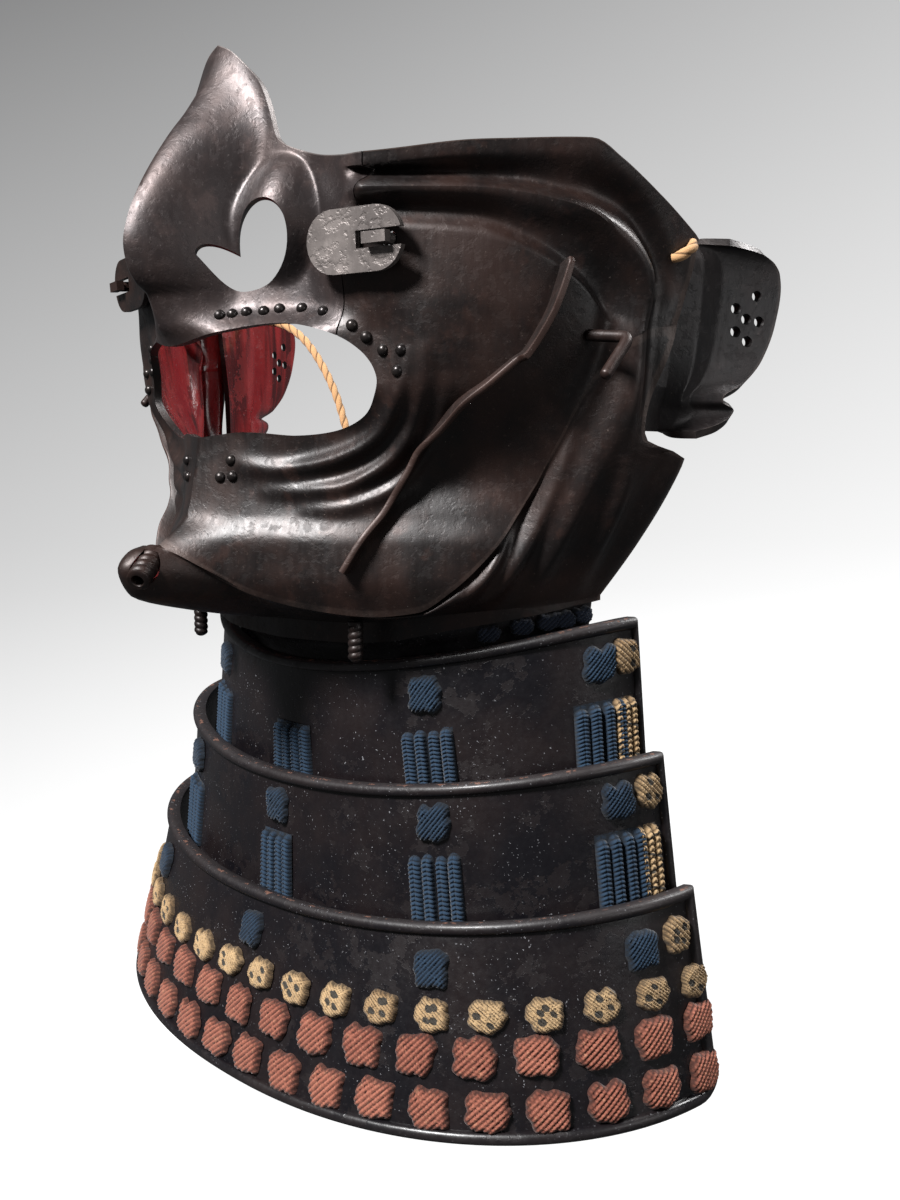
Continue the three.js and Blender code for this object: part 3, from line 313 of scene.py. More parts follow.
@dataclass(frozen=True)
class BraidFinish:
    """Silk braid, whose stitches are in the mesh: thread sheen from the shader and painted as pale highlights
    on the ridge tops, painted shade darkening the valleys, and flecks of another colour.
    """

    name: str
    colour: Colour
    pale: Colour
    fleck: Colour
    flecks: float

    def make(self) -> bpy.types.Material:
        """The material."""
        g = Graph(self.name)
        valley = g.attribute("valley")
        thread = g.noise(0.3, 3, 0.6)
        worn = g.noise(2.2, 3, 0.6).step(0.36, 0.68)
        base = g.mix(g.attribute("tone") * 0.4 + worn * 0.3, self.colour, self.pale)
        # Painted highlight: the ridge tops, away from the valleys, turn pale in threads.
        base = g.mix((1 - valley).step(0.5, 1.0) * (thread * 0.9), base, self.pale)
        base = g.mix(g.noise(0.8, 2, 0.5).step(0.6, 0.68) * self.flecks * 0.55, base, self.fleck)
        spot = (g.attribute("spot") * (0.35 + g.noise(0.8, 3, 0.6) * 1.2)).step(0.3, 0.5)
        base = g.mix(spot * 0.92, base, self.fleck)
        # Painted shade: the valleys, the gaps between cords and the patches' borders darken towards
        # near-black.
        base = g.mix(valley.step(0.12, 0.9) * 0.88, base, tuple(0.12 * c for c in self.colour))
        return g.surface(Base_Color=base, Roughness=0.85, Specular_IOR_Level=0.25, Sheen_Weight=0.12,
                         Normal=g.bump(thread - valley * 0.5, 0.5, 0.16))


@dataclass(frozen=True)
class BackdropFinish:
    """The pale floor and backdrop, glowing with painted light: white below, greyer as it rises and towards
    one side.
    """

    name: str
    centre: Place
    side: Place
    level: float
    fall: float
    lean: float
    lit_share: float = 0.12
    darkest: Colour = (0.18, 0.18, 0.182)

    def make(self) -> bpy.types.Material:
        """The material."""
        g = Graph(self.name)
        apart = g.vector("SUBTRACT", g.where, self.centre)[0]
        flat = g.vector("MULTIPLY", apart, (1.0, 1.0, 0.0))[0]
        away = Val(g, g.vector("LENGTH", flat)["Value"]).power(-1.0)
        height = Val(g, g.node("ShaderNodeSeparateXYZ", {}, apart).outputs[2])
        across = Val(g, g.vector("DOT_PRODUCT", flat, self.side)["Value"])
        # Painted light: the glow and the base colour fall off upward and shift towards one side, standing in
        # for the studio's light.
        light = self.level - height * away * self.fall + across * away * self.lean
        lit = g.mix(light, (0.0, 0.0, 0.0), (self.lit_share,) * 3)
        glow = g.mix(light, self.darkest, (1.0, 1.0, 1.0))
        return g.surface(Base_Color=lit, Roughness=0.95, Specular_IOR_Level=0.0, Emission_Color=glow,
                         Emission_Strength=1.0)


RUSSET = IronFinish("russet_iron", (0.0075, 0.0052, 0.0050), (0.022, 0.0105, 0.0080), (0.13, 0.09, 0.075),
                    0.42, 0.35)
STRIP_IRON = IronFinish("strip_iron", (0.010, 0.0055, 0.0045), (0.022, 0.010, 0.0075),
                        (0.055, 0.026, 0.019), 0.5, 0.3)
NOSE_IRON = IronFinish("nose_iron", (0.026, 0.020, 0.020), (0.040, 0.027, 0.025), (0.24, 0.21, 0.20),
                       0.41, 0.55)
PALE_IRON = IronFinish("pale_iron", (0.11, 0.095, 0.09), (0.19, 0.165, 0.155), (0.44, 0.41, 0.38),
                       0.48, 0.55, 1.4)
RIVET_IRON = IronFinish("rivet_iron", (0.016, 0.013, 0.013), (0.024, 0.019, 0.017), (0.2, 0.18, 0.17),
                        0.3, 0.6, 0.1)
EAR_IRON = IronFinish("ear_iron", (0.010, 0.009, 0.0095), (0.016, 0.012, 0.012), (0.15, 0.12, 0.11),
                      0.4, 0.4)
BLACK_LACQUER = LacquerFinish("black_lacquer", (0.0038, 0.0034, 0.0046), (0.0085, 0.0056, 0.0058),
                              (0.13, 0.06, 0.04), 0.34, 0.12)
RED_LACQUER = LacquerFinish("red_lacquer", (0.21, 0.010, 0.014), (0.30, 0.02, 0.02), (0.05, 0.01, 0.01),
                            0.24, 0.6, 0.9)
BLUE_SILK = BraidFinish("blue_silk", (0.0038, 0.0112, 0.025), (0.011, 0.030, 0.057), (0.003, 0.006, 0.014),
                        0.35)
DARK_SILK = BraidFinish("dark_silk", (0.009, 0.014, 0.028), (0.015, 0.022, 0.04), (0.004, 0.006, 0.012), 0.3)
TAN_SILK = BraidFinish("tan_silk", (0.19, 0.115, 0.055), (0.42, 0.29, 0.155), (0.008, 0.012, 0.014), 1.0)
ORANGE_SILK = BraidFinish("orange_silk", (0.13, 0.036, 0.022), (0.31, 0.112, 0.072), (0.42, 0.24, 0.14), 0.5)
CORD_SILK = BraidFinish("cord_silk", (0.27, 0.135, 0.055), (0.46, 0.27, 0.13), (0.3, 0.15, 0.06), 0.3)
BACKDROP = BackdropFinish("backdrop", (0.23, -0.15, 0.022), (0.70711, 0.70711, 0.0), 0.63, 1.08, 0.53)


# Tables and meshes


def smooth(xs: Array, ys: Array, x: Array) -> Array:
    """Monotone cubic through points, for many places at once.

    Args:
        xs: places, along the last axis; it may hold a row for each place in x.
        ys: values there; it may hold such rows too.
        x: places to read.

    Returns:
        The values at x.
    """
    x = np.asarray(x, float)
    flat = x.ravel()
    xs = np.broadcast_to(np.asarray(xs, float), (flat.size, np.shape(xs)[-1]))
    ys = np.broadcast_to(np.asarray(ys, float), (flat.size, np.shape(ys)[-1]))
    at = np.clip(flat, xs[:, 0], xs[:, -1])[:, None]
    slope = np.diff(ys) / np.diff(xs)
    a, b = slope[:, :-1], slope[:, 1:]
    inner = np.where(a * b <= 0, 0, 2 * a * b / np.where(a + b == 0, 1, a + b))
    tangent = np.concatenate([slope[:, :1], inner, slope[:, -1:]], axis=1)
    i = np.clip((xs <= at).sum(1, keepdims=True) - 1, 0, xs.shape[1] - 2)

    def pick(values: Array, index: Array) -> Array:
        """Each row's value at its own index."""
        return np.take_along_axis(values, index, 1)

    h = pick(xs, i + 1) - pick(xs, i)
    t = (at - pick(xs, i)) / h
    made = ((2 * t**3 - 3 * t**2 + 1) * pick(ys, i) + (t**3 - 2 * t**2 + t) * h * pick(tangent, i)
            + (3 * t**2 - 2 * t**3) * pick(ys, i + 1) + (t**3 - t**2) * h * pick(tangent, i + 1))
    return made[:, 0].reshape(x.shape)


@dataclass(frozen=True)
class Table:
    """Rows with named columns; the first column is the key."""

    names: tuple[str, ...]
    rows: tuple[tuple[float, ...], ...]

    def column(self, name: str) -> Array:
        """One column."""
        return np.array([row[self.names.index(name)] for row in self.rows])

    def at(self, name: str, key: Array) -> Array:
        """A column's value at keys between the rows."""
        return smooth(self.column(self.names[0]), self.column(name), key)


def bell(x: Array, width: float) -> Array:
    """A bell of height 1."""
    return np.exp(-((x / width) ** 2))


def ease(t: Array) -> Array:
    """Smooth step of a share."""
    return t * t * (3 - 2 * t)


def ramp(x: Array, start: float, end: float) -> Array:
    """0 at start, 1 at end and straight between them."""
    return np.clip((x - start) / (end - start), 0, 1)


def unit(vectors: Array) -> Array:
    """Vectors brought to length 1."""
    return vectors / np.linalg.norm(vectors, axis=-1, keepdims=True)


def distances(line: Array) -> Array:
    """How far along a line each of its points lies."""
    return np.concatenate([[0.0], np.cumsum(np.linalg.norm(np.diff(line, axis=0), axis=1))])


def turns(count: int) -> Array:
    """Even steps round a circle, in radians."""
    return np.arange(count) * 2 * math.pi / count


def curve(p0: Array, p1: Array, p2: Array, p3: Array, t: Array) -> Array:
    """Points from p1 at t = 0 to p2 at t = 1, on a smooth line that comes from p0 and goes on to p3."""
    return 0.5 * (2 * p1 + (p2 - p0) * t + (2 * p0 - 5 * p1 + 4 * p2 - p3) * t**2
                  + (3 * p1 - p0 - 3 * p2 + p3) * t**3)


def grid_faces(rows: int, columns: int, start: int = 0, flip: bool = False) -> Faces:
    """Quads of a grid of points, row by row.

    Args:
        rows: rows of points.
        columns: points in a row.
        start: index of the first point.
        flip: whether the faces look the other way.

    Returns:
        The faces.
    """
    faces = []
    for r in range(rows - 1):
        for c in range(columns - 1):
            a = start + r * columns + c
            quad = (a, a + columns, a + columns + 1, a + 1)
            faces.append(quad[::-1] if flip else quad)
    return faces


def ring_faces(rings: int, sides: int, closed: bool = False) -> Faces:
    """Quads between rings of points; a closed sweep joins its last ring to its first.

    Args:
        rings: how many rings.
        sides: points on a ring.
        closed: whether the last ring joins the first.

    Returns:
        The faces.
    """
    faces = []
    for i in range(rings if closed else rings - 1):
        m = (i + 1) % rings
        for k in range(sides):
            n = (k + 1) % sides
            faces.append((i * sides + k, i * sides + n, m * sides + n, m * sides + k))
    return faces


def capped_faces(rings: int, sides: int) -> Faces:
    """Quads between rings of points, with one flat face at each end."""
    last = (rings - 1) * sides
    return [*ring_faces(rings, sides), tuple(reversed(range(sides))), tuple(range(last, last + sides))]


class Piece:
    """Makes objects from points in millimetres and puts them on the guard."""

    @staticmethod
    def make(name: str, points: Array, faces: Sequence[Sequence[int]],
             finishes: Sequence[bpy.types.Material] = (), inner: set[int] | None = None,
             attributes: dict[str, Array] | None = None, smooth_angle: float = 40.0) -> bpy.types.Object:
        """A mesh object.

        Args:
            name: the piece's name.
            points: its vertices, in millimetres.
            faces: its faces.
            finishes: its materials.
            inner: faces that take the second material.
            attributes: numbers on the vertices, by name.
            smooth_angle: edges sharper than this, in degrees, stay sharp.

        Returns:
            The object, linked to the scene.
        """
        mesh = bpy.data.meshes.new(name)
        mesh.from_pydata((np.asarray(points) * MM).tolist(), [], [tuple(f) for f in faces])
        for finish in finishes:
            mesh.materials.append(finish)
        if inner:
            index = np.zeros(len(faces), int)
            index[list(inner)] = 1
            mesh.polygons.foreach_set("material_index", index)
        for key, values in (attributes or {}).items():
            layer = mesh.attributes.new(key, "FLOAT", "POINT")
            layer.data.foreach_set("value", np.asarray(values, float).ravel())
        mesh.update()
        made = bpy.data.objects.new(name, mesh)
        bpy.context.scene.collection.objects.link(made)
        Piece.shade(made, smooth_angle)
        return made

    @staticmethod
    def shade(made: bpy.types.Object, angle: float) -> None:
        """Smooth shading with edges over an angle kept sharp."""
        mesh = made.data
        mesh.shade_smooth()
        mesh.set_sharp_from_angle(angle=math.radians(angle))

    @staticmethod
    def settle(made: bpy.types.Object, slot: Slot, replaces: Sequence[str] = ()) -> None:
        """Puts a piece on the guard and hides the frame's nodes that it stands for.

        Args:
            made: the piece.
            slot: its material slot; not used.
            replaces: nodes of the frame that it stands for.
        """
        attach(made, ROOT_BODY)
        if replaces:
            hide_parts(*replaces)
        LOG.info("%s: %d faces", made.name, len(made.data.polygons))

    @staticmethod
    def cut(made: bpy.types.Object, cutters: Sequence[bpy.types.Object],
            operation: str = "DIFFERENCE") -> None:
        """Applies boolean cuts to a piece and removes the cutters.

        Args:
            made: the piece.
            cutters: closed meshes.
            operation: Blender's name of the cut.
        """
        for cutter in cutters:
            change = made.modifiers.new("cut", "BOOLEAN")
            change.operation = operation
            change.object = cutter
            change.solver = "MANIFOLD"
        bpy.context.view_layer.update()
        graph = bpy.context.evaluated_depsgraph_get()
        mesh = bpy.data.meshes.new_from_object(made.evaluated_get(graph))
        made.modifiers.clear()
        made.data = mesh
        for cutter in cutters:
            bpy.data.objects.remove(cutter)


# The face's surface


@dataclass
class FaceForm:
    """The face guard's surface as a radius from an upright axis, by angle from the front and by height."""

    depth: float = 65
    radius: float = 80
    height: float = 111
    neck_half_width: float = 62
    neck_depth: float = 41
    flange: float = 4.5
    flange_rise: float = 0.75
    jaw_step: float = 2.2
    full_angle: float = 94
    rear_start: float = 74
    nose_fade: float = 0.03
    wing_middle: tuple[float, float] = (19.5, 0.652)
    wing_half: tuple[float, float] = (10.2, 0.125)
    wing_height: float = 0.098
    wing_softness: float = 0.22
    rim_bead: float = 2.5
    fold_foot: float = 3.5
    fold_start: tuple[float, float] = (36, 39)
    fold_end: tuple[float, float] = (85, 76)
    roll_radius: float = 0.8
    roll_fade: float = 0.8
    roll_steps: int = 30
    step_fade: tuple[float, float] = (90, 70)
    step_run: float = 12
    belly: float = 4
    belly_fade: tuple[float, float] = (20, 50)
    steep_angle: float = 50
    steepness: float = 1.3
    boss_width: float = 7
    pleat_start: float = 56
    pleat_span: float = 37
    pleat_lean: float = 0.35
    pleat_rise: float = 0.9
    pleat_count: int = 4
    pleat_fade: float = 6
    flange_fade: tuple[float, float] = (45, 85)
    normal_step: float = 0.4
    brow_share: float = 0.55
    cheek_share: float = 0.02
    sections: Table = Table(
        ("height", "front", "nose", "lip", "mouth", "cheek", "jaw", "temple", "ear"),
        ((-0.09, 0.975, 0.75, 0.713, 0.713, 0.738, 0.781, 0.825, 0.85),
         (-0.018, 1, 0.8, 0.75, 0.75, 0.769, 0.8, 0.831, 0.863),
         (0.045, 0.905, 0.798, 0.748, 0.743, 0.762, 0.806, 0.844, 0.881),
         (0.099, 0.822, 0.765, 0.718, 0.718, 0.738, 0.781, 0.838, 0.9),
         (0.162, 0.8, 0.75, 0.696, 0.702, 0.713, 0.762, 0.85, 0.925),
         (0.252, 0.781, 0.744, 0.706, 0.725, 0.75, 0.8, 0.881, 0.956),
         (0.342, 0.825, 0.8, 0.787, 0.787, 0.825, 0.863, 0.92, 0.975),
         (0.432, 0.863, 0.831, 0.787, 0.787, 0.856, 0.887, 0.948, 1),
         (0.495, 0.825, 0.775, 0.725, 0.8, 0.863, 0.9, 0.956, 1.012),
         (0.595, 0.825, 0.75, 0.713, 0.835, 0.863, 0.906, 0.975, 1.025),
         (0.739, 0.75, 0.713, 0.713, 0.838, 0.863, 0.904, 0.994, 1.031),
         (0.865, 0.713, 0.694, 0.7, 0.812, 0.85, 0.9, 0.988, 1.031),
         (1, 0.691, 0.681, 0.7, 0.8, 0.85, 0.9, 0.988, 1.025)))
    section_angles: tuple[float, ...] = (0, 10, 25, 40, 50, 61.5, 76, 93)
    nose: Table = Table(
        ("height", "reach", "spread"),
        ((0.42, 0.878, 13), (0.5, 0.918, 12), (0.517, 0.93, 12), (0.53, 0.956, 12), (0.562, 0.984, 12.5),
         (0.603, 0.994, 13), (0.654, 0.978, 13.5), (0.705, 0.946, 14), (0.754, 0.906, 15), (0.818, 0.844, 16),
         (0.868, 0.788, 15), (0.931, 0.731, 12), (1.0, 0.691, 8)))
    lines: Table = Table(
        ("angle", "rim", "groove", "ridge", "lower"),
        ((0, 1.0, 0.9, 0.84, 0.78), (4, 0.984, 0.885, 0.83, 0.77), (9, 0.948, 0.86, 0.81, 0.755),
         (13, 0.912, 0.835, 0.785, 0.735), (15.5, 0.868, 0.805, 0.76, 0.715),
         (18.5, 0.802, 0.76, 0.725, 0.685), (23, 0.778, 0.738, 0.7, 0.662),
         (40, 0.74, 0.716, 0.677, 0.648), (58, 0.755, 0.703, 0.671, 0.632),
         (66, 0.757, 0.695, 0.658, 0.6), (73.5, 0.758, 0.672, 0.63, 0.547), (78, 0.73, 0.65, 0.59, 0.495),
         (82, 0.702, 0.62, 0.545, 0.462), (86, 0.674, 0.56, 0.505, 0.466), (94, 0.612, 0.51, 0.49, 0.474)))
    jaw: Table = Table(
        ("angle", "height"),
        ((0, 0.042), (4, 0.016), (8, -0.022), (14.5, -0.058), (24.6, -0.081), (39.3, -0.093), (48.6, -0.083),
         (55.3, -0.039), (62.6, 0.036), (70.5, 0.153), (76.6, 0.333), (83, 0.43), (94, 0.46)))
    neck_top: Table = Table(("angle", "height"), ((0, -0.125), (30, -0.12), (60, -0.09), (93, -0.06)))
    boss: Table = Table(
        ("way", "reach", "height"),
        ((0, 0.942, 0.042), (0.15, 0.99, 0.034), (0.3, 1.033, -0.002), (0.45, 1.0, -0.052),
         (0.62, 0.82, -0.09), (0.8, 0.65, -0.112), (1, 0.513, -0.125)))
    face_rear: Table = Table(("height", "angle"), ((0.46, 91), (0.52, 92.5), (0.612, 94)))
    throat_rear: Table = Table(
        ("way", "angle"), ((0, 91), (0.36, 86.5), (0.4, 87), (0.5, 97), (0.8, 93.5), (1, 90)))
    rolls: tuple[tuple[float, float, tuple[tuple[float, float], ...]], ...] = (
        (2.5, 2.0, ((7, 0.2), (18, 0.185), (26.3, 0.193), (37.1, 0.224), (42.5, 0.268), (45.5, 0.335),
                    (46.5, 0.41))),
        (2.4, 2.0, ((13, 0.148), (22, 0.146), (31, 0.15), (39.5, 0.178), (45.5, 0.226), (49, 0.31),
                    (50, 0.42))),
        (1.5, 1.7, ((22, 0.112), (31, 0.114), (40, 0.134), (47.5, 0.178), (52, 0.25), (54, 0.36))),
        (2.5, 2.4, ((69, 0.664), (76, 0.63), (81.2, 0.577), (83.9, 0.503), (82.7, 0.389), (80, 0.309),
                    (76, 0.2))),
        (-2.4, 2.2, ((73, 0.7), (80, 0.66), (84.5, 0.606), (87.7, 0.526), (86.1, 0.435), (82.3, 0.287))),
        (-1.6, 1.9, ((66, 0.62), (73, 0.603), (77.5, 0.54), (79, 0.47), (77.5, 0.37), (74.5, 0.28))))
    fold_depths: tuple[float, ...] = (0.9, 0.4, -2.5, 1.7, -2.0, 0)

    def plain(self, angle: Array, z: Array) -> Array:
        """Radius of the plain face."""
        h = z / self.height
        rows = np.stack([self.sections.at(name, h) for name in self.sections.names[1:]], axis=-1)
        flat = smooth(np.array(self.section_angles), rows.reshape(-1, rows.shape[-1]), angle.ravel())
        return self.radius * flat.reshape(angle.shape)

    def nose_rise(self, angle: Array, z: Array) -> Array:
        """How far the nose stands out of the plain face.

        Args:
            angle: degrees from the front.
            z: heights in millimetres.

        Returns:
            Millimetres out of the plain face.
        """
        h = z / self.height
        above = self.radius * self.nose.at("reach", h) - self.plain(np.zeros_like(angle), z)
        share = np.clip(1 - angle / self.nose.at("spread", h), 0, 1)
        foot = self.nose.rows[0][0]
        return above * ease(share) * ramp(h, foot, foot + self.nose_fade)

    def wing_rise(self, angle: Array, z: Array) -> Array:
        """The round domes beside the nose."""
        (turn, height), (half_turn, half_height) = self.wing_middle, self.wing_half
        d = np.hypot((angle - turn) / half_turn, (z / self.height - height) / half_height)
        dome = np.clip(1 - d * d, 0, None)
        return self.radius * self.wing_height * dome**2 / (dome + self.wing_softness)

    def line(self, name: str, angle: Array) -> Array:
        """Height of one of the lines along the rim."""
        return self.height * self.lines.at(name, angle)

    def fold_rise(self, angle: Array, z: Array) -> Array:
        """The folds under the rim.

        Args:
            angle: degrees from the front.
            z: heights in millimetres.

        Returns:
            Millimetres out of the plain face.
        """
        rim, groove, ridge, lower = (self.line(name, angle) for name in self.lines.names[1:])
        places = [rim, rim - self.rim_bead, groove, ridge, lower, lower - self.fold_foot]
        depths = np.stack([(rim - place).ravel() for place in places], axis=-1)
        rise = smooth(depths, np.array(self.fold_depths), (rim - z).ravel()).reshape(z.shape)
        return rise * ramp(angle, *self.fold_start) * ramp(angle, *self.fold_end)

    def roll_rise(self, rise: float, width: float, line: Sequence[tuple[float, float]], angle: Array,
                  z: Array) -> Array:
        """A rounded fold along a smooth line, which fades at both ends.

        Args:
            rise: the fold's height.
            width: the width of its bell.
            line: angles and heights of the line's marks.
            angle: places round the face.
            z: their heights.

        Returns:
            The fold's height at each place.
        """
        arc = math.radians(self.roll_radius * self.radius)
        marks = np.array(line) * (arc, self.height)
        steps = np.linspace(0, len(marks) - 1, self.roll_steps)
        index = np.arange(len(marks), dtype=float)
        points = np.stack([smooth(index, marks[:, axis], steps) for axis in range(2)], axis=1)
        nearest, share = np.full(z.shape, np.inf), np.zeros(z.shape)
        for k, ((ax, az), (bx, bz)) in enumerate(zip(points, points[1:])):
            dx, dz = bx - ax, bz - az
            px, pz = angle * arc - ax, z - az
            t = np.clip((px * dx + pz * dz) / (dx * dx + dz * dz), 0, 1)
            apart = np.hypot(px - t * dx, pz - t * dz)
            share = np.where(apart < nearest, (k + t) / (len(points) - 1), share)
            nearest = np.minimum(nearest, apart)
        return rise * bell(nearest, width) * np.sin(math.pi * np.clip(share, 0, 1)) ** self.roll_fade

    def face_radius(self, signed: Array, z: Array) -> Array:
        """Radius of the dressed face."""
        angle = np.abs(signed)
        rolls = sum(self.roll_rise(rise, width, line, angle, z) for rise, width, line in self.rolls)
        return (self.plain(angle, z) + self.nose_rise(angle, z) + self.wing_rise(angle, z)
                + self.fold_rise(angle, z) + rolls)

    def around(self, angle: Array, radius: Array, z: Array) -> Array:
        """Points at angles from the front, radii and heights."""
        a = np.radians(angle)
        return np.stack([radius * np.sin(a), self.depth - radius * np.cos(a), z + 0 * a], axis=-1)

    def jaw_height(self, angle: Array) -> Array:
        """Height of the jaw's edge."""
        return self.height * self.jaw.at("height", np.abs(angle))

    def throat(self, signed: Array, way: Array) -> Array:
        """Points under the jaw, from its edge in to the neck.

        Args:
            signed: degrees from the front.
            way: shares of the way in.

        Returns:
            The points.
        """
        angle = np.abs(signed)
        edge_z = self.jaw_height(angle)
        edge_r = self.face_radius(angle, edge_z)
        neck_z = self.height * self.neck_top.at("height", angle)
        a = np.radians(angle)
        neck_r = 1 / np.hypot(np.cos(a) / self.neck_depth, np.sin(a) / self.neck_half_width)
        step = self.jaw_step * ramp(angle, *self.step_fade) * np.minimum(1, way * self.step_run)
        belly = self.belly * np.sin(math.pi * way) * ramp(angle, *self.belly_fade)
        share = np.where(angle > self.steep_angle, way**self.steepness, way)
        r = edge_r - step + (neck_r - edge_r + step) * share + belly + self.pleat(angle, way)
        z = edge_z + (neck_z - edge_z) * way
        boss = bell(angle, self.boss_width)
        boss_r = self.radius * self.boss.at("reach", way)
        boss_z = self.height * self.boss.at("height", way)
        return self.around(signed, r + (boss_r - r) * boss, z + (boss_z - z) * boss)

    def pleat(self, angle: Array, way: Array) -> Array:
        """Pleats that fan out under the ear."""
        fan = (angle - self.pleat_start) / self.pleat_span + self.pleat_lean * way
        fade = ramp(angle, self.pleat_start, self.pleat_start + self.pleat_fade) * np.sin(math.pi * way)
        return self.pleat_rise * np.cos(2 * math.pi * self.pleat_count * fan) * fade

    def row_height(self, angle: Array, share: Array) -> Array:
        """Height on the face at a share of the way from the rim (0) over the folds (1) to the jaw (2).

        Args:
            angle: degrees from the front.
            share: 0 to 2.

        Returns:
            The heights.
        """
        size = np.abs(angle)
        jaw = self.jaw_height(size)
        rim, groove, ridge, lower = (self.line(name, size) for name in self.lines.names[1:])
        stops = [rim, rim - 1, rim + (groove - rim) * self.brow_share, groove, ridge, lower,
                 lower + (jaw - lower) * self.cheek_share - 1]
        place = np.clip(share, 0, 1) * (len(stops) - 1)
        low = np.clip(np.floor(place).astype(int), 0, len(stops) - 2)
        stack = np.stack(stops, axis=0)
        first = np.take_along_axis(stack, low[None], 0)[0]
        second = np.take_along_axis(stack, low[None] + 1, 0)[0]
        brow = first + (second - first) * (place - low)
        return np.where(share <= 1, brow, stops[-1] + (jaw - stops[-1]) * (share - 1))

    def stretched(self, angle: Array, rear: Array) -> Array:
        """Angles past the rear start stretched to end at the rear edge."""
        size = np.abs(angle)
        share = (size - self.rear_start) / (self.full_angle - self.rear_start)
        return np.where(size <= self.rear_start, angle,
                        np.sign(angle) * (self.rear_start + (rear - self.rear_start) * share))

    def face_points(self, angle: Array, share: Array) -> Array:
        """Points of the face for a grid of angles and shares from the rim to the jaw."""
        first = self.row_height(angle, share)
        turned = self.stretched(angle, self.face_rear.at("angle", first / self.height))
        z = self.row_height(turned, share)
        return self.around(turned, self.face_radius(turned, z), z)

    def throat_points(self, angle: Array, way: Array) -> Array:
        """Points under the jaw, with the rear edge's own shape.

        Args:
            angle: degrees from the front, before the rear edge's stretch.
            way: 0 to 1 from the jaw to the neck, and to 2 down the flange.

        Returns:
            The points.
        """
        inside = np.clip(way, 0, 1)
        points = self.throat(self.stretched(angle, self.throat_rear.at("angle", inside)), inside)
        rear = ramp(np.abs(angle), *self.flange_fade)
        points[..., 2] -= self.flange * np.clip(way - 1, 0, 1) * (1 - self.flange_rise * rear)
        return points

    def face_point(self, angle: float, z: float) -> Array:
        """One point on the face."""
        turn, height = np.array([angle]), np.array([z])
        return self.around(turn, self.face_radius(turn, height), height)[0]

    def frame(self, angle: float, z: float) -> tuple[Array, Array, Array, Array]:
        """Point, outward normal, level tangent and upward tangent at a place on the face.

        Args:
            angle: degrees from the front.
            z: heights in millimetres.

        Returns:
            The four vectors.
        """
        step = self.normal_step
        level = unit(self.face_point(angle + step, z) - self.face_point(angle - step, z))
        rise = self.face_point(angle, z + step) - self.face_point(angle, z - step)
        out = unit(np.cross(level, rise))
        return self.face_point(angle, z), out, level, np.cross(out, level)


def normals_of(grid: Array, reach: int = 1) -> Array:
    """Inward normals of a grid whose rows run down and whose columns run from the wearer's right to left.

    Args:
        grid: points in rows.
        reach: how many columns and rows apart the neighbours lie.

    Returns:
        A unit vector for each point.
    """
    rows, columns = grid.shape[:2]
    c = np.arange(columns)
    r = np.arange(rows)
    along = grid[:, np.minimum(c + reach, columns - 1)] - grid[:, np.maximum(c - reach, 0)]
    down = grid[np.minimum(r + reach, rows - 1)] - grid[np.maximum(r - reach, 0)]
    inward = np.cross(along, down)
    return inward / np.maximum(np.linalg.norm(inward, axis=-1, keepdims=True), 1e-9)


def wall_mesh(outer: Array, inner: Array) -> tuple[Array, Faces, set[int]]:
    """A closed wall between two grids.

    Args:
        outer: the outer grid of points.
        inner: the inner grid of points.

    Returns:
        Points, faces, and the indices of the inner faces.
    """
    rows, columns = outer.shape[:2]
    count = rows * columns
    points = np.concatenate([outer.reshape(-1, 3), inner.reshape(-1, 3)])
    faces = grid_faces(rows, columns)
    first_inner = len(faces)
    faces += grid_faces(rows, columns, count, flip=True)
    inside = set(range(first_inner, len(faces)))
    index = np.arange(count).reshape(rows, columns)
    for border, flip in ((index[:, 0], True), (index[:, -1], False), (index[0], False), (index[-1], True)):
        for a, b in zip(border.tolist(), border[1:].tolist()):
            quad = (a, b, b + count, a + count)
            faces.append(quad[::-1] if flip else quad)
    return points, faces, inside


# Camera, light and floor


@dataclass(frozen=True)
class Lamp:
    """A square area lamp; its place is measured right of, above and ahead of the object, in metres."""

    name: str
    place: Place
    size: float
    power: float


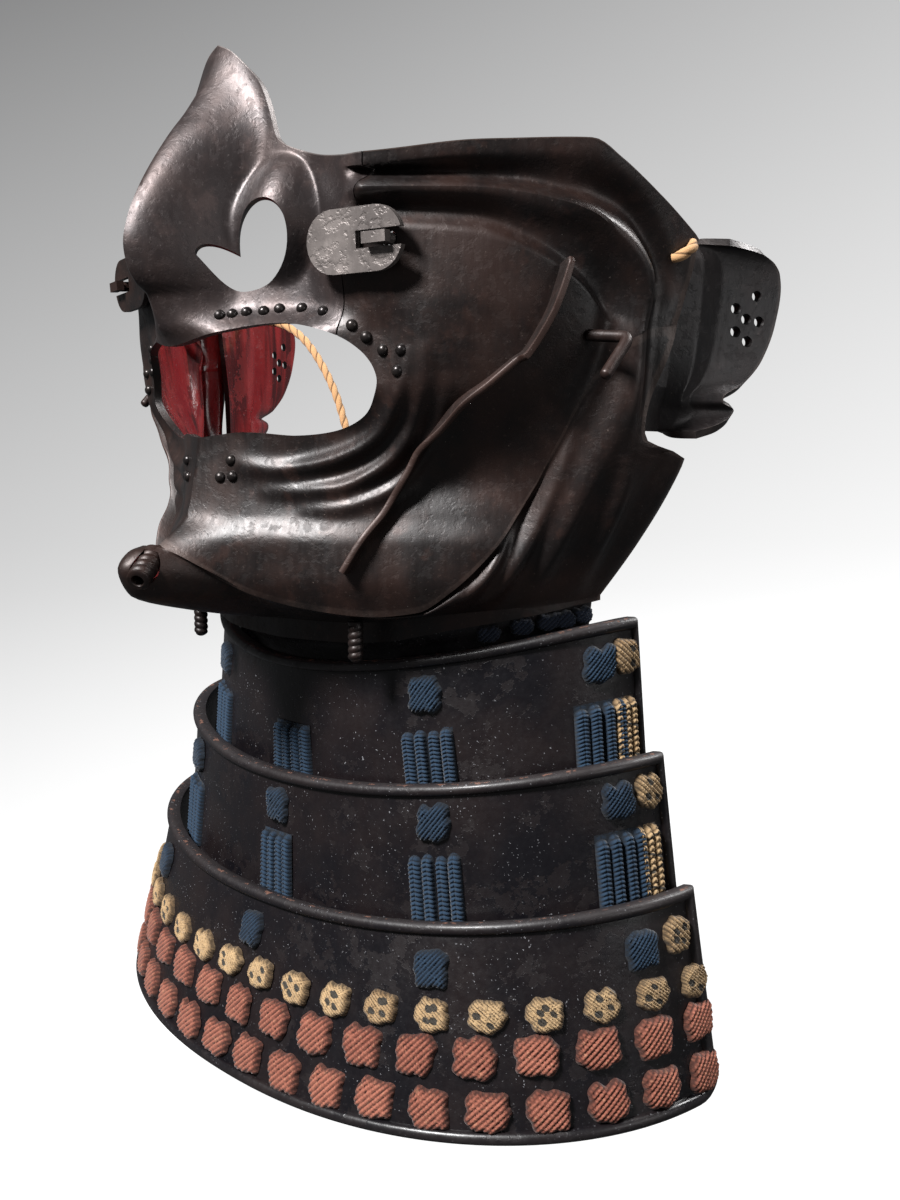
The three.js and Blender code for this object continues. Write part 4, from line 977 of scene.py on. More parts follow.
@dataclass
class Studio:
    """Camera at the photo's angle, lights, floor and backdrop."""

    camera_place: Place = (230, -150, 22)
    forward: Place = (-0.70277, 0.70277, -0.11048)
    focal_px: float = 1232.41
    image_height: int = 1200
    sensor_mm: float = 36.0
    target: Place = (0, 20, -5)
    lamps: tuple[Lamp, ...] = (
        Lamp("key", (-0.558, 0.765, -0.675), 0.24, 42),
        Lamp("fill", (1.1, 0.275, -0.99), 0.7, 4.5),
        Lamp("rim", (0.66, 1.1, 0.77), 0.4, 3.5),
        Lamp("inside", (0.72, 0.72, 0.16), 0.3, 9))
    sky: Colour = (0.85, 0.87, 0.9)
    sky_strength: float = 0.12
    floor_drop: float = 1.2
    floor_sides: int = 96
    profile: tuple[tuple[float, float], ...] = (
        (0.0, 0.0), (1.2, 0.0), (1.7, 0.03), (2.1, 0.16), (2.4, 0.42), (2.55, 0.8), (2.6, 1.6), (2.6, 3))

    def build(self, lowest: float) -> None:
        """Builds the studio.

        Args:
            lowest: the object's lowest height, in metres.
        """
        scene = bpy.context.scene
        ahead = Vector(self.forward).normalized()
        right = ahead.cross(Vector((0, 0, 1))).normalized()
        up = right.cross(ahead)
        data = bpy.data.cameras.new("camera")
        data.sensor_width = self.sensor_mm
        data.lens = self.focal_px / self.image_height * self.sensor_mm
        data.clip_start = 0.01
        camera = bpy.data.objects.new("camera", data)
        camera.matrix_world = Matrix.Translation(Vector(self.camera_place) * MM) @ Matrix(
            (right, up, -ahead)).transposed().to_4x4()
        scene.collection.objects.link(camera)
        scene.camera = camera
        for lamp in self.lamps:
            rightward, upward, forward = lamp.place
            self.hang(lamp, rightward * right + upward * up + forward * ahead)
        world = bpy.data.worlds.new("studio")
        world.use_nodes = True
        background = world.node_tree.nodes["Background"]
        background.inputs["Color"].default_value = (*self.sky, 1)
        background.inputs["Strength"].default_value = self.sky_strength
        scene.world = world
        scene.view_settings.view_transform = "Standard"
        self.sweep(lowest)

    def hang(self, lamp: Lamp, away: Vector) -> None:
        """Hangs one lamp away from the object, so that it looks at it.

        Args:
            lamp: the lamp.
            away: its way from the object, in metres.
        """
        data = bpy.data.lights.new(lamp.name, "AREA")
        data.size = lamp.size
        data.energy = lamp.power
        made = bpy.data.objects.new(lamp.name, data)
        place = Vector(self.target) * MM + away
        made.matrix_world = Matrix.Translation(place) @ (-away).to_track_quat("-Z", "Y").to_matrix().to_4x4()
        bpy.context.scene.collection.objects.link(made)

    def sweep(self, lowest: float) -> None:
        """A round floor that turns up into a backdrop all around.

        Args:
            lowest: the object's lowest height, in metres.
        """
        floor = lowest - self.floor_drop * MM
        points = []
        for radius, height in self.profile:
            for a in turns(self.floor_sides):
                points.append((radius * math.cos(a) / MM, radius * math.sin(a) / MM, (floor + height) / MM))
        faces = ring_faces(len(self.profile), self.floor_sides)
        made = Piece.make("floor", np.array(points), faces, [BACKDROP.make()])
        made.visible_diffuse = made.visible_glossy = False
        made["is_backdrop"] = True


# Hanging cord


@dataclass
class HangingCord:
    """The tan cord that hangs between the rim's rear corners, and its loops over the rim."""

    form: FaceForm
    radius: float = 1.15
    lay_length: float = 7.5
    loop_radius: float = 2.6
    strand_rise: float = 0.22
    valley_sharpness: float = 2.4
    loop_place: tuple[float, float] = (90.6, 0.585)
    loop_sunk: float = 0.9
    loop_turn: tuple[float, float] = (-70, 215)
    loop_lean: tuple[float, float] = (0.55, 0.84)
    loop_stretch: tuple[float, float] = (0.95, 1.25)
    low: Place = (0, 80, -6)
    route: tuple[Place, ...] = (
        (76.2, 73, 63.8), (72, 77.5, 63.6), (66, 79.5, 61.4), (59, 80, 56.8), (51.5, 80, 49),
        (45.8, 80, 40.5), (41.6, 80, 31), (35.5, 80, 17), (25.5, 80, 4), (13, 80, -3.4))

    def path(self, parts: int = 40) -> Array:
        """A close line of points through the route, in millimetres.

        Args:
            parts: steps between two of the route's points.

        Returns:
            The points, from the wearer's right to the left.
        """
        points = np.array([*[(-x, y, z) for x, y, z in self.route], self.low, *reversed(self.route)], float)
        ends = np.concatenate([[2 * points[0] - points[1]], points, [2 * points[-1] - points[-2]]])
        t = np.linspace(0, 1, parts, endpoint=False)[:, None]
        made = [curve(*near, t) for near in zip(ends, ends[1:], ends[2:], ends[3:])]
        return np.concatenate([*made, points[-1:]])

    def twist(self, along: Array, angle: Array) -> Array:
        """Radius of the two-strand twist."""
        return self.radius * (1 - self.strand_rise + self.strand_rise * self.strand(along, angle))

    def strand(self, along: Array, angle: Array) -> Array:
        """1 on a strand's back and 0 between the strands."""
        return np.abs(np.cos(angle - along * 2 * math.pi / self.lay_length))

    def dressed(self, name: str, line: Array, silk: bpy.types.Material) -> bpy.types.Object:
        """A piece of the cord along a line.

        Args:
            name: the piece's name.
            line: its middle line.
            silk: its finish.

        Returns:
            The piece.
        """
        rod = Rod(line, 20)
        points, faces = rod.mesh(self.twist)
        along, angle = np.meshgrid(distances(line), turns(rod.sides), indexing="ij")
        # Where painted shade goes: between the two strands.
        valley = np.clip(1 - self.strand(along, angle) * self.valley_sharpness, 0, 1)
        numbers = {"valley": valley, "spot": 0 * valley, "tone": 0 * valley + 0.5}
        return Piece.make(name, points, faces, [silk], attributes=numbers)

    def build(self) -> None:
        """Builds the cord and its loops."""
        silk = CORD_SILK.make()
        path = self.path()
        made = self.dressed("tan_cord", path, silk)
        Piece.settle(made, Slot.TAN_CORD, replaces=["hanging_cord"])
        loops = [self.loop(side, sign, silk) for side, sign in SIDES]

    def loop(self, side: str, sign: int, silk: bpy.types.Material) -> bpy.types.Object:
        """The short bight where the cord goes over the rim's rear corner.

        Args:
            side: left or right.
            sign: 1 on the left and -1 on the right.
            silk: its finish.

        Returns:
            The piece.
        """
        angle, height = self.loop_place
        point, out, level, up = self.form.frame(sign * angle, height * self.form.height)
        turn = np.radians(np.linspace(*self.loop_turn, 60))[:, None]
        upward, sideways = self.loop_lean
        lift = unit(upward * up + sideways * level * sign)
        deep, tall = self.loop_stretch
        ring = np.cos(turn) * out * deep + np.sin(turn) * lift * tall
        line = point - out * self.loop_sunk + self.loop_radius * ring
        made = self.dressed(f"cord_loop_{side}", line, silk)
        Piece.settle(made, Slot.TAN_CORD)
        return made


# The iron mask


@dataclass
class IronMask:
    """Mask shell and nose piece, cut from one wall."""

    form: FaceForm
    mouth_half: float = 41.5
    mouth_edge: Table = Table(
        ("across", "height"),
        ((0, 0.42), (0.3, 0.443), (0.55, 0.456), (0.8, 0.436), (0.94, 0.4), (1.0, 0.352), (0.97, 0.315),
         (0.88, 0.282), (0.72, 0.258), (0.5, 0.25), (0.25, 0.257), (0, 0.248)))
    seam: tuple[tuple[float, float], ...] = (
        (0.544, 0.95), (0.54, 0.74), (0.53, 0.697), (0.504, 0.66), (0.44, 0.546), (0.435, 0.34))
    seam_gap: float = 0.3
    lock_place: tuple[float, float] = (38.6, 0.59)
    pin_across: float = 6.2
    pin_bore: float = 1.55
    pin_hole: tuple[float, float] = (-8, 4)
    tube_hole: tuple[float, float] = (1.5, 12)
    nostril_angle: float = 11.4
    nostril_height: float = 0.588
    nostril_swing: float = 45
    nostril_pitch: float = -6.3
    nostril_curves: tuple[tuple[tuple[float, float], ...], ...] = (
        ((0, 0), (-0.4, 6.5), (2.0, 9.7), (5.4, 9.7)), ((5.4, 9.7), (9, 9.7), (10.9, 6), (10.9, 2.2)),
        ((10.9, 2.2), (10.9, -4), (6, -7.7), (1, -7.7)), ((1, -7.7), (-3, -7.5), (-6, -3), (-8.8, -0.4)),
        ((-8.8, -0.4), (-8.2, 2.6), (-4, 2.2), (0, 0)))
    cut_depths: tuple[float, float] = (-40, 52)
    nostril_depths: tuple[float, float] = (-15, 9)
    columns: int = 321
    column_shares: tuple[float, ...] = (0, 0.11, 0.72, 1)
    column_angles: tuple[float, ...] = (0, 12, 54, 94)
    row_marks: tuple[float, ...] = (0, 0.42, 0.88, 1)
    row_shares: tuple[float, ...] = (1, 1.47, 1.82, 2)
    fold_rows: int = 38
    cheek_rows: int = 100
    throat_rows: int = 34
    jaw_run: float = 0.06
    jaw_wear: float = 0.55
    rear_wear: float = 0.8
    inset_reach: int = 11

    def grid(self) -> tuple[Array, Array]:
        """The outer grid and a wear number for each of its points."""
        f = self.form
        half = np.interp(np.linspace(0, 1, self.columns // 2 + 1), self.column_shares, self.column_angles)
        angles = np.concatenate([-half[:0:-1], half])
        rows = np.interp(np.linspace(0, 1, self.cheek_rows), self.row_marks, self.row_shares)
        shares = np.concatenate([np.linspace(0, 1, self.fold_rows, endpoint=False), rows])
        a, s = np.meshgrid(angles, shares)
        face = f.face_points(a, s)
        ways = np.concatenate([np.linspace(0, self.jaw_run, 5)[1:],
                               np.linspace(self.jaw_run, 1, self.throat_rows)[1:], np.linspace(1, 2, 6)[1:]])
        a, w = np.meshgrid(angles, ways)
        grid = np.concatenate([face, f.throat_points(a, w)])
        edge = np.zeros(grid.shape[:2])
        edge[:2] = 1
        jaw = len(shares)
        edge[jaw - 2:jaw + 2] = self.jaw_wear
        edge[:, :2] = edge[:, -2:] = self.rear_wear
        return grid, edge

    def prism(self, name: str, outline: Sequence[Sequence[float]], depths: tuple[float, float],
              turn: Matrix | None = None) -> bpy.types.Object:
        """A cutter: an outline in x and height, pushed along the depth and then turned to its place.

        Args:
            name: the cutter's name.
            outline: its corners.
            depths: where it starts and ends.
            turn: moves it to its place.

        Returns:
            The cutter.
        """
        count = len(outline)
        points = [(x, depth, z) for depth in depths for x, z in outline]
        faces = [tuple(range(count)), tuple(reversed(range(count, 2 * count)))]
        faces += [(k, k + count, (k + 1) % count + count, (k + 1) % count) for k in range(count)]
        if turn is not None:
            points = [tuple(turn @ Vector(p)) for p in points]
        return solid(name, np.array(points), faces)

    def mouth(self) -> bpy.types.Object:
        """The mouth's cutter, along a smooth closed line."""
        rows = [(x * self.mouth_half, h * self.form.height) for x, h in self.mouth_edge.rows]
        ring = rows + [(-x, z) for x, z in reversed(rows[1:-1])]
        return self.prism("mouth", closed_line(ring, 8), self.cut_depths)

    def bores(self) -> list[bpy.types.Object]:
        """Cutters for the chin tube's hole and the turn pins' holes."""
        fittings = Fittings(self.form)
        root, axis = fittings.tube_line()
        lines = [(root + axis * np.linspace(*self.tube_hole, 3)[:, None], fittings.tube_radius + SEAT_GAP)]
        place, out, level, _ = self.form.frame(self.lock_place[0], self.lock_place[1] * self.form.height)
        pin = place + level * self.pin_across + out * np.linspace(*self.pin_hole, 3)[:, None]
        lines += [(pin, self.pin_bore), (pin * MIRROR, self.pin_bore)]
        return [solid("bore", *Rod(line, 32).mesh(even(radius))) for line, radius in lines]

    def side_shape(self, extra: float) -> list[tuple[float, float]]:
        """The nose piece's outline in the front view."""
        near = [(x * self.form.radius + extra, h * self.form.height) for x, h in self.seam]
        side = [(near[0][0], 1.2 * self.form.height), *near]
        return side + [(-x, z) for x, z in reversed(side)]

    def nostril(self, mirrored: bool) -> bpy.types.Object:
        """One heart-shaped cutter.

        Args:
            mirrored: whether it is the right one.

        Returns:
            The cutter.
        """
        t = np.linspace(0, 1, 14, endpoint=False)[:, None]
        near, far = 3 * (1 - t) ** 2 * t, 3 * (1 - t) * t**2
        ring = np.concatenate([(1 - t) ** 3 * p0 + near * p1 + far * p2 + t**3 * p3
                               for p0, p1, p2, p3 in np.array(self.nostril_curves, float)])
        cusp = self.form.face_point(self.nostril_angle, self.nostril_height * self.form.height)
        turn = (Matrix.Translation(Vector(cusp)) @ Matrix.Rotation(math.radians(self.nostril_swing), 4, "Z")
                @ Matrix.Rotation(math.radians(self.nostril_pitch), 4, "X"))
        if mirrored:
            turn = Matrix.Scale(-1, 4, Vector((1, 0, 0))) @ turn
        return self.prism("nostril", ring, self.nostril_depths, turn)

    def build(self) -> None:
        """Builds both pieces."""
        grid, edge = self.grid()
        inner = grid + normals_of(grid, self.inset_reach) * IRON_WALL
        points, faces, inside = wall_mesh(grid, inner)
        wear = {"wear": np.concatenate([edge.ravel(), edge.ravel()])}
        red = RED_LACQUER.make()
        mask = Piece.make("iron_mask", points, faces, [RUSSET.make(), red], inside, wear)
        seam = self.prism("seam", self.side_shape(self.seam_gap / 2), self.cut_depths)
        Piece.cut(mask, [self.mouth(), seam, *self.bores()])
        nose = Piece.make("nose_plate", points, faces, [NOSE_IRON.make(), red], inside, wear)
        keep = self.prism("keep", self.side_shape(-self.seam_gap / 2), self.cut_depths)
        Piece.cut(nose, [keep], "INTERSECT")
        Piece.cut(nose, [self.mouth(), self.nostril(False), self.nostril(True)])
        for made, slot, node in ((mask, Slot.DARK_IRON, "mask_shell"), (nose, Slot.GREY_IRON, "nose_piece")):
            Piece.shade(made, 38)
            Piece.settle(made, slot, replaces=[node])


def closed_line(ring: Sequence[tuple[float, float]], parts: int) -> Array:
    """A smooth closed line through points of a plane."""
    points = np.array(ring, float)
    t = np.linspace(0, 1, parts, endpoint=False)[:, None]
    near = [np.roll(points, -k, axis=0) for k in (-1, 0, 1, 2)]
    return np.concatenate([curve(*four, t) for four in zip(*near)])


# Throat guard


@dataclass
class Lame:
    """One curved plate: its top and bottom edges are ovals in plan."""

    name: str
    rim: float
    top: tuple[float, float, float, float, float, float]
    bottom: tuple[float, float, float, float, float, float]
    wall: float = 2.0
    corner: float = 0.0
    turn_per_mm: float = 0.9
    worn_width: float = 2.2
    dent: float = 0.12
    rim_steps: tuple[float, ...] = (0, 0.12, 0.35, 0.65, 1.0, 1.35, 1.7, 2.05, 2.35, 2.6, 2.9)
    rim_width: float = 3.2

    def base(self, angle: Array, share: Array) -> Array:
        """Points of the outer face, from angles round the plate and shares of the way down.

        Args:
            angle: degrees round the plate.
            share: shares of the way down.

        Returns:
            The points.
        """
        half, front, rear, square, front_z, rear_z = (
            a + (b - a) * share for a, b in zip(self.top, self.bottom))
        turn = np.radians(np.abs(angle))
        side = np.sign(angle) * np.clip(np.sin(turn), 0, 1) ** (2 / square)
        ahead = np.clip(np.cos(turn), 0, 1) ** (2 / square)
        return np.stack([half * side, rear - (rear - front) * ahead, front_z + (rear_z - front_z) * side**2],
                        axis=-1)

    def normal(self, angle: Array, share: Array) -> Array:
        """Outward normals."""
        held = np.clip(angle, -89.6, 89.6)
        along = self.base(held + 0.15, share) - self.base(held - 0.15, share)
        down = self.base(held, share + 0.02) - self.base(held, share - 0.02)
        return unit(np.cross(down, along))

    def point(self, angle: Array, share: Array, out: Array | float) -> Array:
        """Points at a distance out from the face."""
        return self.base(angle, share) + self.normal(angle, share) * np.asarray(out)[..., None]

    def build(self, finish: bpy.types.Material) -> None:
        """Builds the plate with its rounded rims.

        Args:
            finish: the plate's finish.
        """
        fine = np.array(self.rim_steps)
        high = self.top[4] - self.bottom[4]
        inset = self.rim_width / high
        shares = np.concatenate([fine / high, np.linspace(inset, 1 - inset, 26), 1 - fine[::-1] / high])
        ends = 90 - self.turn_per_mm * fine
        angles = np.concatenate([-ends, np.linspace(-ends[-1] + 1, ends[-1] - 1, 150), ends[::-1]])
        a, s = np.meshgrid(angles, shares)
        from_end = (90 - np.abs(a)) / self.turn_per_mm
        from_edge = np.minimum(np.minimum(s, 1 - s) * high, from_end)
        if self.corner:
            near = np.clip(1 - from_end / self.corner, 0, 0.96)
            s = s * (1 - (1 - np.sqrt(1 - near**2)) * self.corner / high)
        bead = np.zeros_like(s)
        if self.rim:
            bead = np.sqrt(np.clip(1 - ((from_edge - self.rim) / self.rim) ** 2, 0, 1)) * self.rim
        rng = np.random.default_rng(len(self.name) * 7)
        waves = (a * rng.uniform(0.05, 0.16) + s * rng.uniform(2, 7) + rng.uniform(0, 6) for _ in range(4))
        dents = sum(self.dent * np.sin(wave) for wave in waves)
        outer = self.point(a, s, bead + dents * ramp(from_edge, 0, 5))
        inner = self.point(a, s, np.full(a.shape, -self.wall))
        points, faces, _ = wall_mesh(outer, inner)
        edge = np.clip(1 - from_edge / self.worn_width, 0, 1).ravel()
        made = Piece.make(f"{self.name}_plate", points, faces, [finish],
                          attributes={"wear": np.concatenate([edge, edge * 0.5])})
        Piece.settle(made, Slot.BLACK_LACQUER, replaces=[self.name])


LAMES = (
    Lame("neck_lame", 0, (59.6, 26.4, 65, 1.97, -16, -8.5), (58, 37.5, 65, 1.85, -31, -21)),
    Lame("top_lame", 1.3, (68, 27, 69.5, 1.8, -23.5, -11.7), (70, 27.5, 71.5, 2, -57, -47)),
    Lame("middle_lame", 1.3, (75, 23, 70.5, 2.1, -50, -41), (78.5, 21.8, 72.5, 2.2, -84, -75)),
    Lame("bottom_lame", 1.3, (83, 17, 71.5, 2.2, -77.5, -69.5), (91, 6.7, 71.5, 2.24, -119.5, -114.6),
         corner=5),
)


@dataclass(frozen=True)
class Stitch:
    """What a patch's shape gives for each of its points."""

    u: Array
    v: Array
    high: Array
    # valley marks hollows, gaps and borders, where the braid finish paints shade.
    valley: Array
    spot: Array


Shape = Callable[[Array, Array], Stitch]


@dataclass
class Patches:
    """Many small stitched patches on a plate, joined into one mesh."""

    lame: Lame
    across: int = 34
    down: int = 34
    seat: float = 0.06
    points: list[Array] = field(default_factory=list)
    faces: list[tuple[int, ...]] = field(default_factory=list)
    numbers: dict[str, list[Array]] = field(default_factory=lambda: {"valley": [], "spot": [], "tone": []})
    count: int = 0
    tone_scatter: tuple[float, float, float] = (12.9898, 7.1, 43758.5453)

    def frame(self, angle: float, share: float) -> tuple[float, float]:
        """Degrees and shares for a millimetre along and down the plate at a place."""
        around, down = np.array([-0.5, 0.5, 0, 0]), np.array([0, 0, -0.01, 0.01])
        place = self.lame.base(angle + around, share + down)
        along = np.linalg.norm(place[1] - place[0])
        return 1 / max(along, 1e-3), 0.02 / np.linalg.norm(place[3] - place[2])

    def add(self, angle: float, share: float, half_width: float, half_height: float, rise: float,
            shape: Shape) -> None:
        """Adds a patch.

        Args:
            angle: the patch's middle, in degrees round the plate.
            share: its middle, as a share of the way down.
            half_width: half its width, in millimetres.
            half_height: half its height.
            rise: its greatest height over the plate.
            shape: gives each point's place, height and colour numbers from u and v in -1..1.
        """
        u, v = np.meshgrid(np.linspace(-1, 1, self.across), np.linspace(-1, 1, self.down))
        stitch = shape(u, v)
        turn, drop = self.frame(angle, share)
        a = np.clip(angle + stitch.u * half_width * turn, -89.8, 89.8)
        s = share + stitch.v * half_height * drop
        self.points.append(self.lame.point(a, s, self.seat + rise * stitch.high).reshape(-1, 3))
        self.numbers["valley"].append(stitch.valley.ravel())
        self.numbers["spot"].append(stitch.spot.ravel())
        turn_step, share_step, spread = self.tone_scatter
        tone = math.sin(turn_step * (angle + share_step * share)) * spread % 1.0
        self.numbers["tone"].append(np.full(u.size, tone))
        self.faces += grid_faces(self.down, self.across, self.count)
        self.count += u.size

    def build(self, name: str, finish: bpy.types.Material, slot: Slot, replaces: Sequence[str] = ()) -> None:
        """Joins the patches into one piece."""
        made = Piece.make(name, np.concatenate(self.points), self.faces, [finish],
                          attributes={key: np.concatenate(parts) for key, parts in self.numbers.items()},
                          smooth_angle=80)
        Piece.settle(made, slot, replaces=replaces)


@dataclass(frozen=True)
class Knot:
    """A flat knot of braid whose ridges run slantwise, each ridge a row of small beads of thread."""

    seed: int
    ridges: float
    lean: float = 1.0
    squareness: float = 3.2
    spots: float = 0.0

    def shape(self, u: Array, v: Array) -> Stitch:
        """Place, height and colour numbers of the knot's points.

        Args:
            u: place across, -1..1.
            v: place down, -1..1.

        Returns:
            The stitch.
        """
        rng = np.random.default_rng(self.seed)
        skew, bulge = rng.uniform(-0.1, 0.1), rng.uniform(-0.08, 0.08)
        notch, side, phase = rng.uniform(0.05, 0.22), rng.uniform(-0.3, 0.3), rng.random()
        size = np.maximum(np.abs(u), np.abs(v))
        power = self.squareness
        length = np.maximum((np.abs(u) ** power + np.abs(v) ** power) ** (1 / power), 1e-6)
        k = size / length
        turn = np.arctan2(v, u)
        ragged = 1 + 0.05 * np.sin(5 * turn + 6 * phase) + 0.035 * np.sin(9 * turn + 9 * phase)
        u2 = u * k * ragged * (1 + bulge * v) + skew * v
        v2 = v * k * ragged + notch * np.exp(-(((u - side) / 0.28) ** 2)) * np.clip(-v, 0, 1)
        edge = np.clip((1 - size) / 0.32, 0, 1)
        cross = (u2 * self.lean + v2) * 0.5 * self.ridges + phase
        along = (u2 - v2 * self.lean) * 0.5 * self.ridges * 1.3
        ridge = np.abs(np.sin(math.pi * cross))
        bead = np.abs(np.sin(math.pi * along + 0.5 * math.pi * np.floor(cross)))
        dome = np.sqrt(1 - (1 - edge) ** 2)
        high = dome * (0.5 + 0.34 * ridge * (0.7 + 0.3 * bead)) + dome * 0.16 * (1 - size**2)
        # Where painted shade goes: between ridges and beads, and round the knot's border against the plate.
        valley = np.clip(1 - ridge * 1.6, 0, 1) + (1 - bead) * 0.35 * ridge + (1 - edge) * 0.6
        spot = np.zeros_like(u)
        if self.spots:
            for k in range(rng.integers(2, 5)):
                round_at = 2 * math.pi * (phase + k / 3.3) + rng.uniform(-0.4, 0.4)
                middle = rng.uniform(0.3, 0.55) * np.array([math.cos(round_at), math.sin(round_at)])
                across = ((u2 - middle[0]) + (v2 - middle[1])) / 0.36
                along = ((u2 - middle[0]) - (v2 - middle[1])) / rng.uniform(0.2, 0.3)
                spot = np.maximum(spot, np.exp(-((across**2 + along**2) ** 2)) * self.spots)
        return Stitch(u2, v2, high - 0.08 * spot * dome, np.clip(valley, 0, 1), spot)


@dataclass(frozen=True)
class Braid:
    """Upright cords side by side, each a chain of V-shaped stitches with a rounded top."""

    seed: int
    cords: int
    stitches: float
    split: bool = False
    spots: float = 0.0

    def shape(self, u: Array, v: Array) -> Stitch:
        """Place, height and colour numbers of the braid's points.

        Args:
            u: place across, -1..1.
            v: place down, -1..1.

        Returns:
            The stitch.
        """
        rng = np.random.default_rng(self.seed)
        phases, starts = rng.random(self.cords), rng.uniform(-0.05, 0.06, self.cords)
        tilt = rng.uniform(-0.06, 0.06)
        place = (u + 1) * 0.5 * self.cords
        index = np.clip(place.astype(int), 0, self.cords - 1)
        w = (place - index) * 2 - 1
        body = np.sqrt(np.clip(1 - np.abs(w) ** 3, 0, 1))
        if self.split:
            body = body * np.clip((np.abs(u) - 0.03) / 0.07, 0.0, 1)
        wave = v * self.stitches - np.abs(w) * 0.55 + phases[index]
        ripple = np.abs(np.sin(math.pi * wave))
        middle = np.clip(0.35 + np.abs(w) / 0.2, 0, 1)
        start = -1 + starts[index] + 0.06 + 0.14 * w**2
        top = np.clip((v - start) / 0.14, 0, 1)
        high = body * (0.68 + 0.26 * ripple * middle) * np.sqrt(top)
        # Where painted shade goes: between stitches, between cords and at the braid's top end.
        valley = np.clip(1 - ripple * 1.9, 0, 1) * 0.85 + (1 - middle) * 0.7 + (1 - body) * 0.7
        valley = np.clip(valley + (1 - top) * 0.5, 0, 1)
        sway = np.sin(2.3 * math.pi * v + 2 * math.pi * phases[0]) * 1.5
        spot = self.spots * np.exp(-((sway - u * 1.2) ** 2) * 6)
        return Stitch(u + tilt * v, v, high, valley, spot)


@dataclass(frozen=True)
class StitchRow:
    """One row of knots along a plate."""

    name: str
    silk: str
    share: float
    half_width: float
    half_height: float
    count: int
    ridges: float
    lean: float
    squareness: float
    spots: float


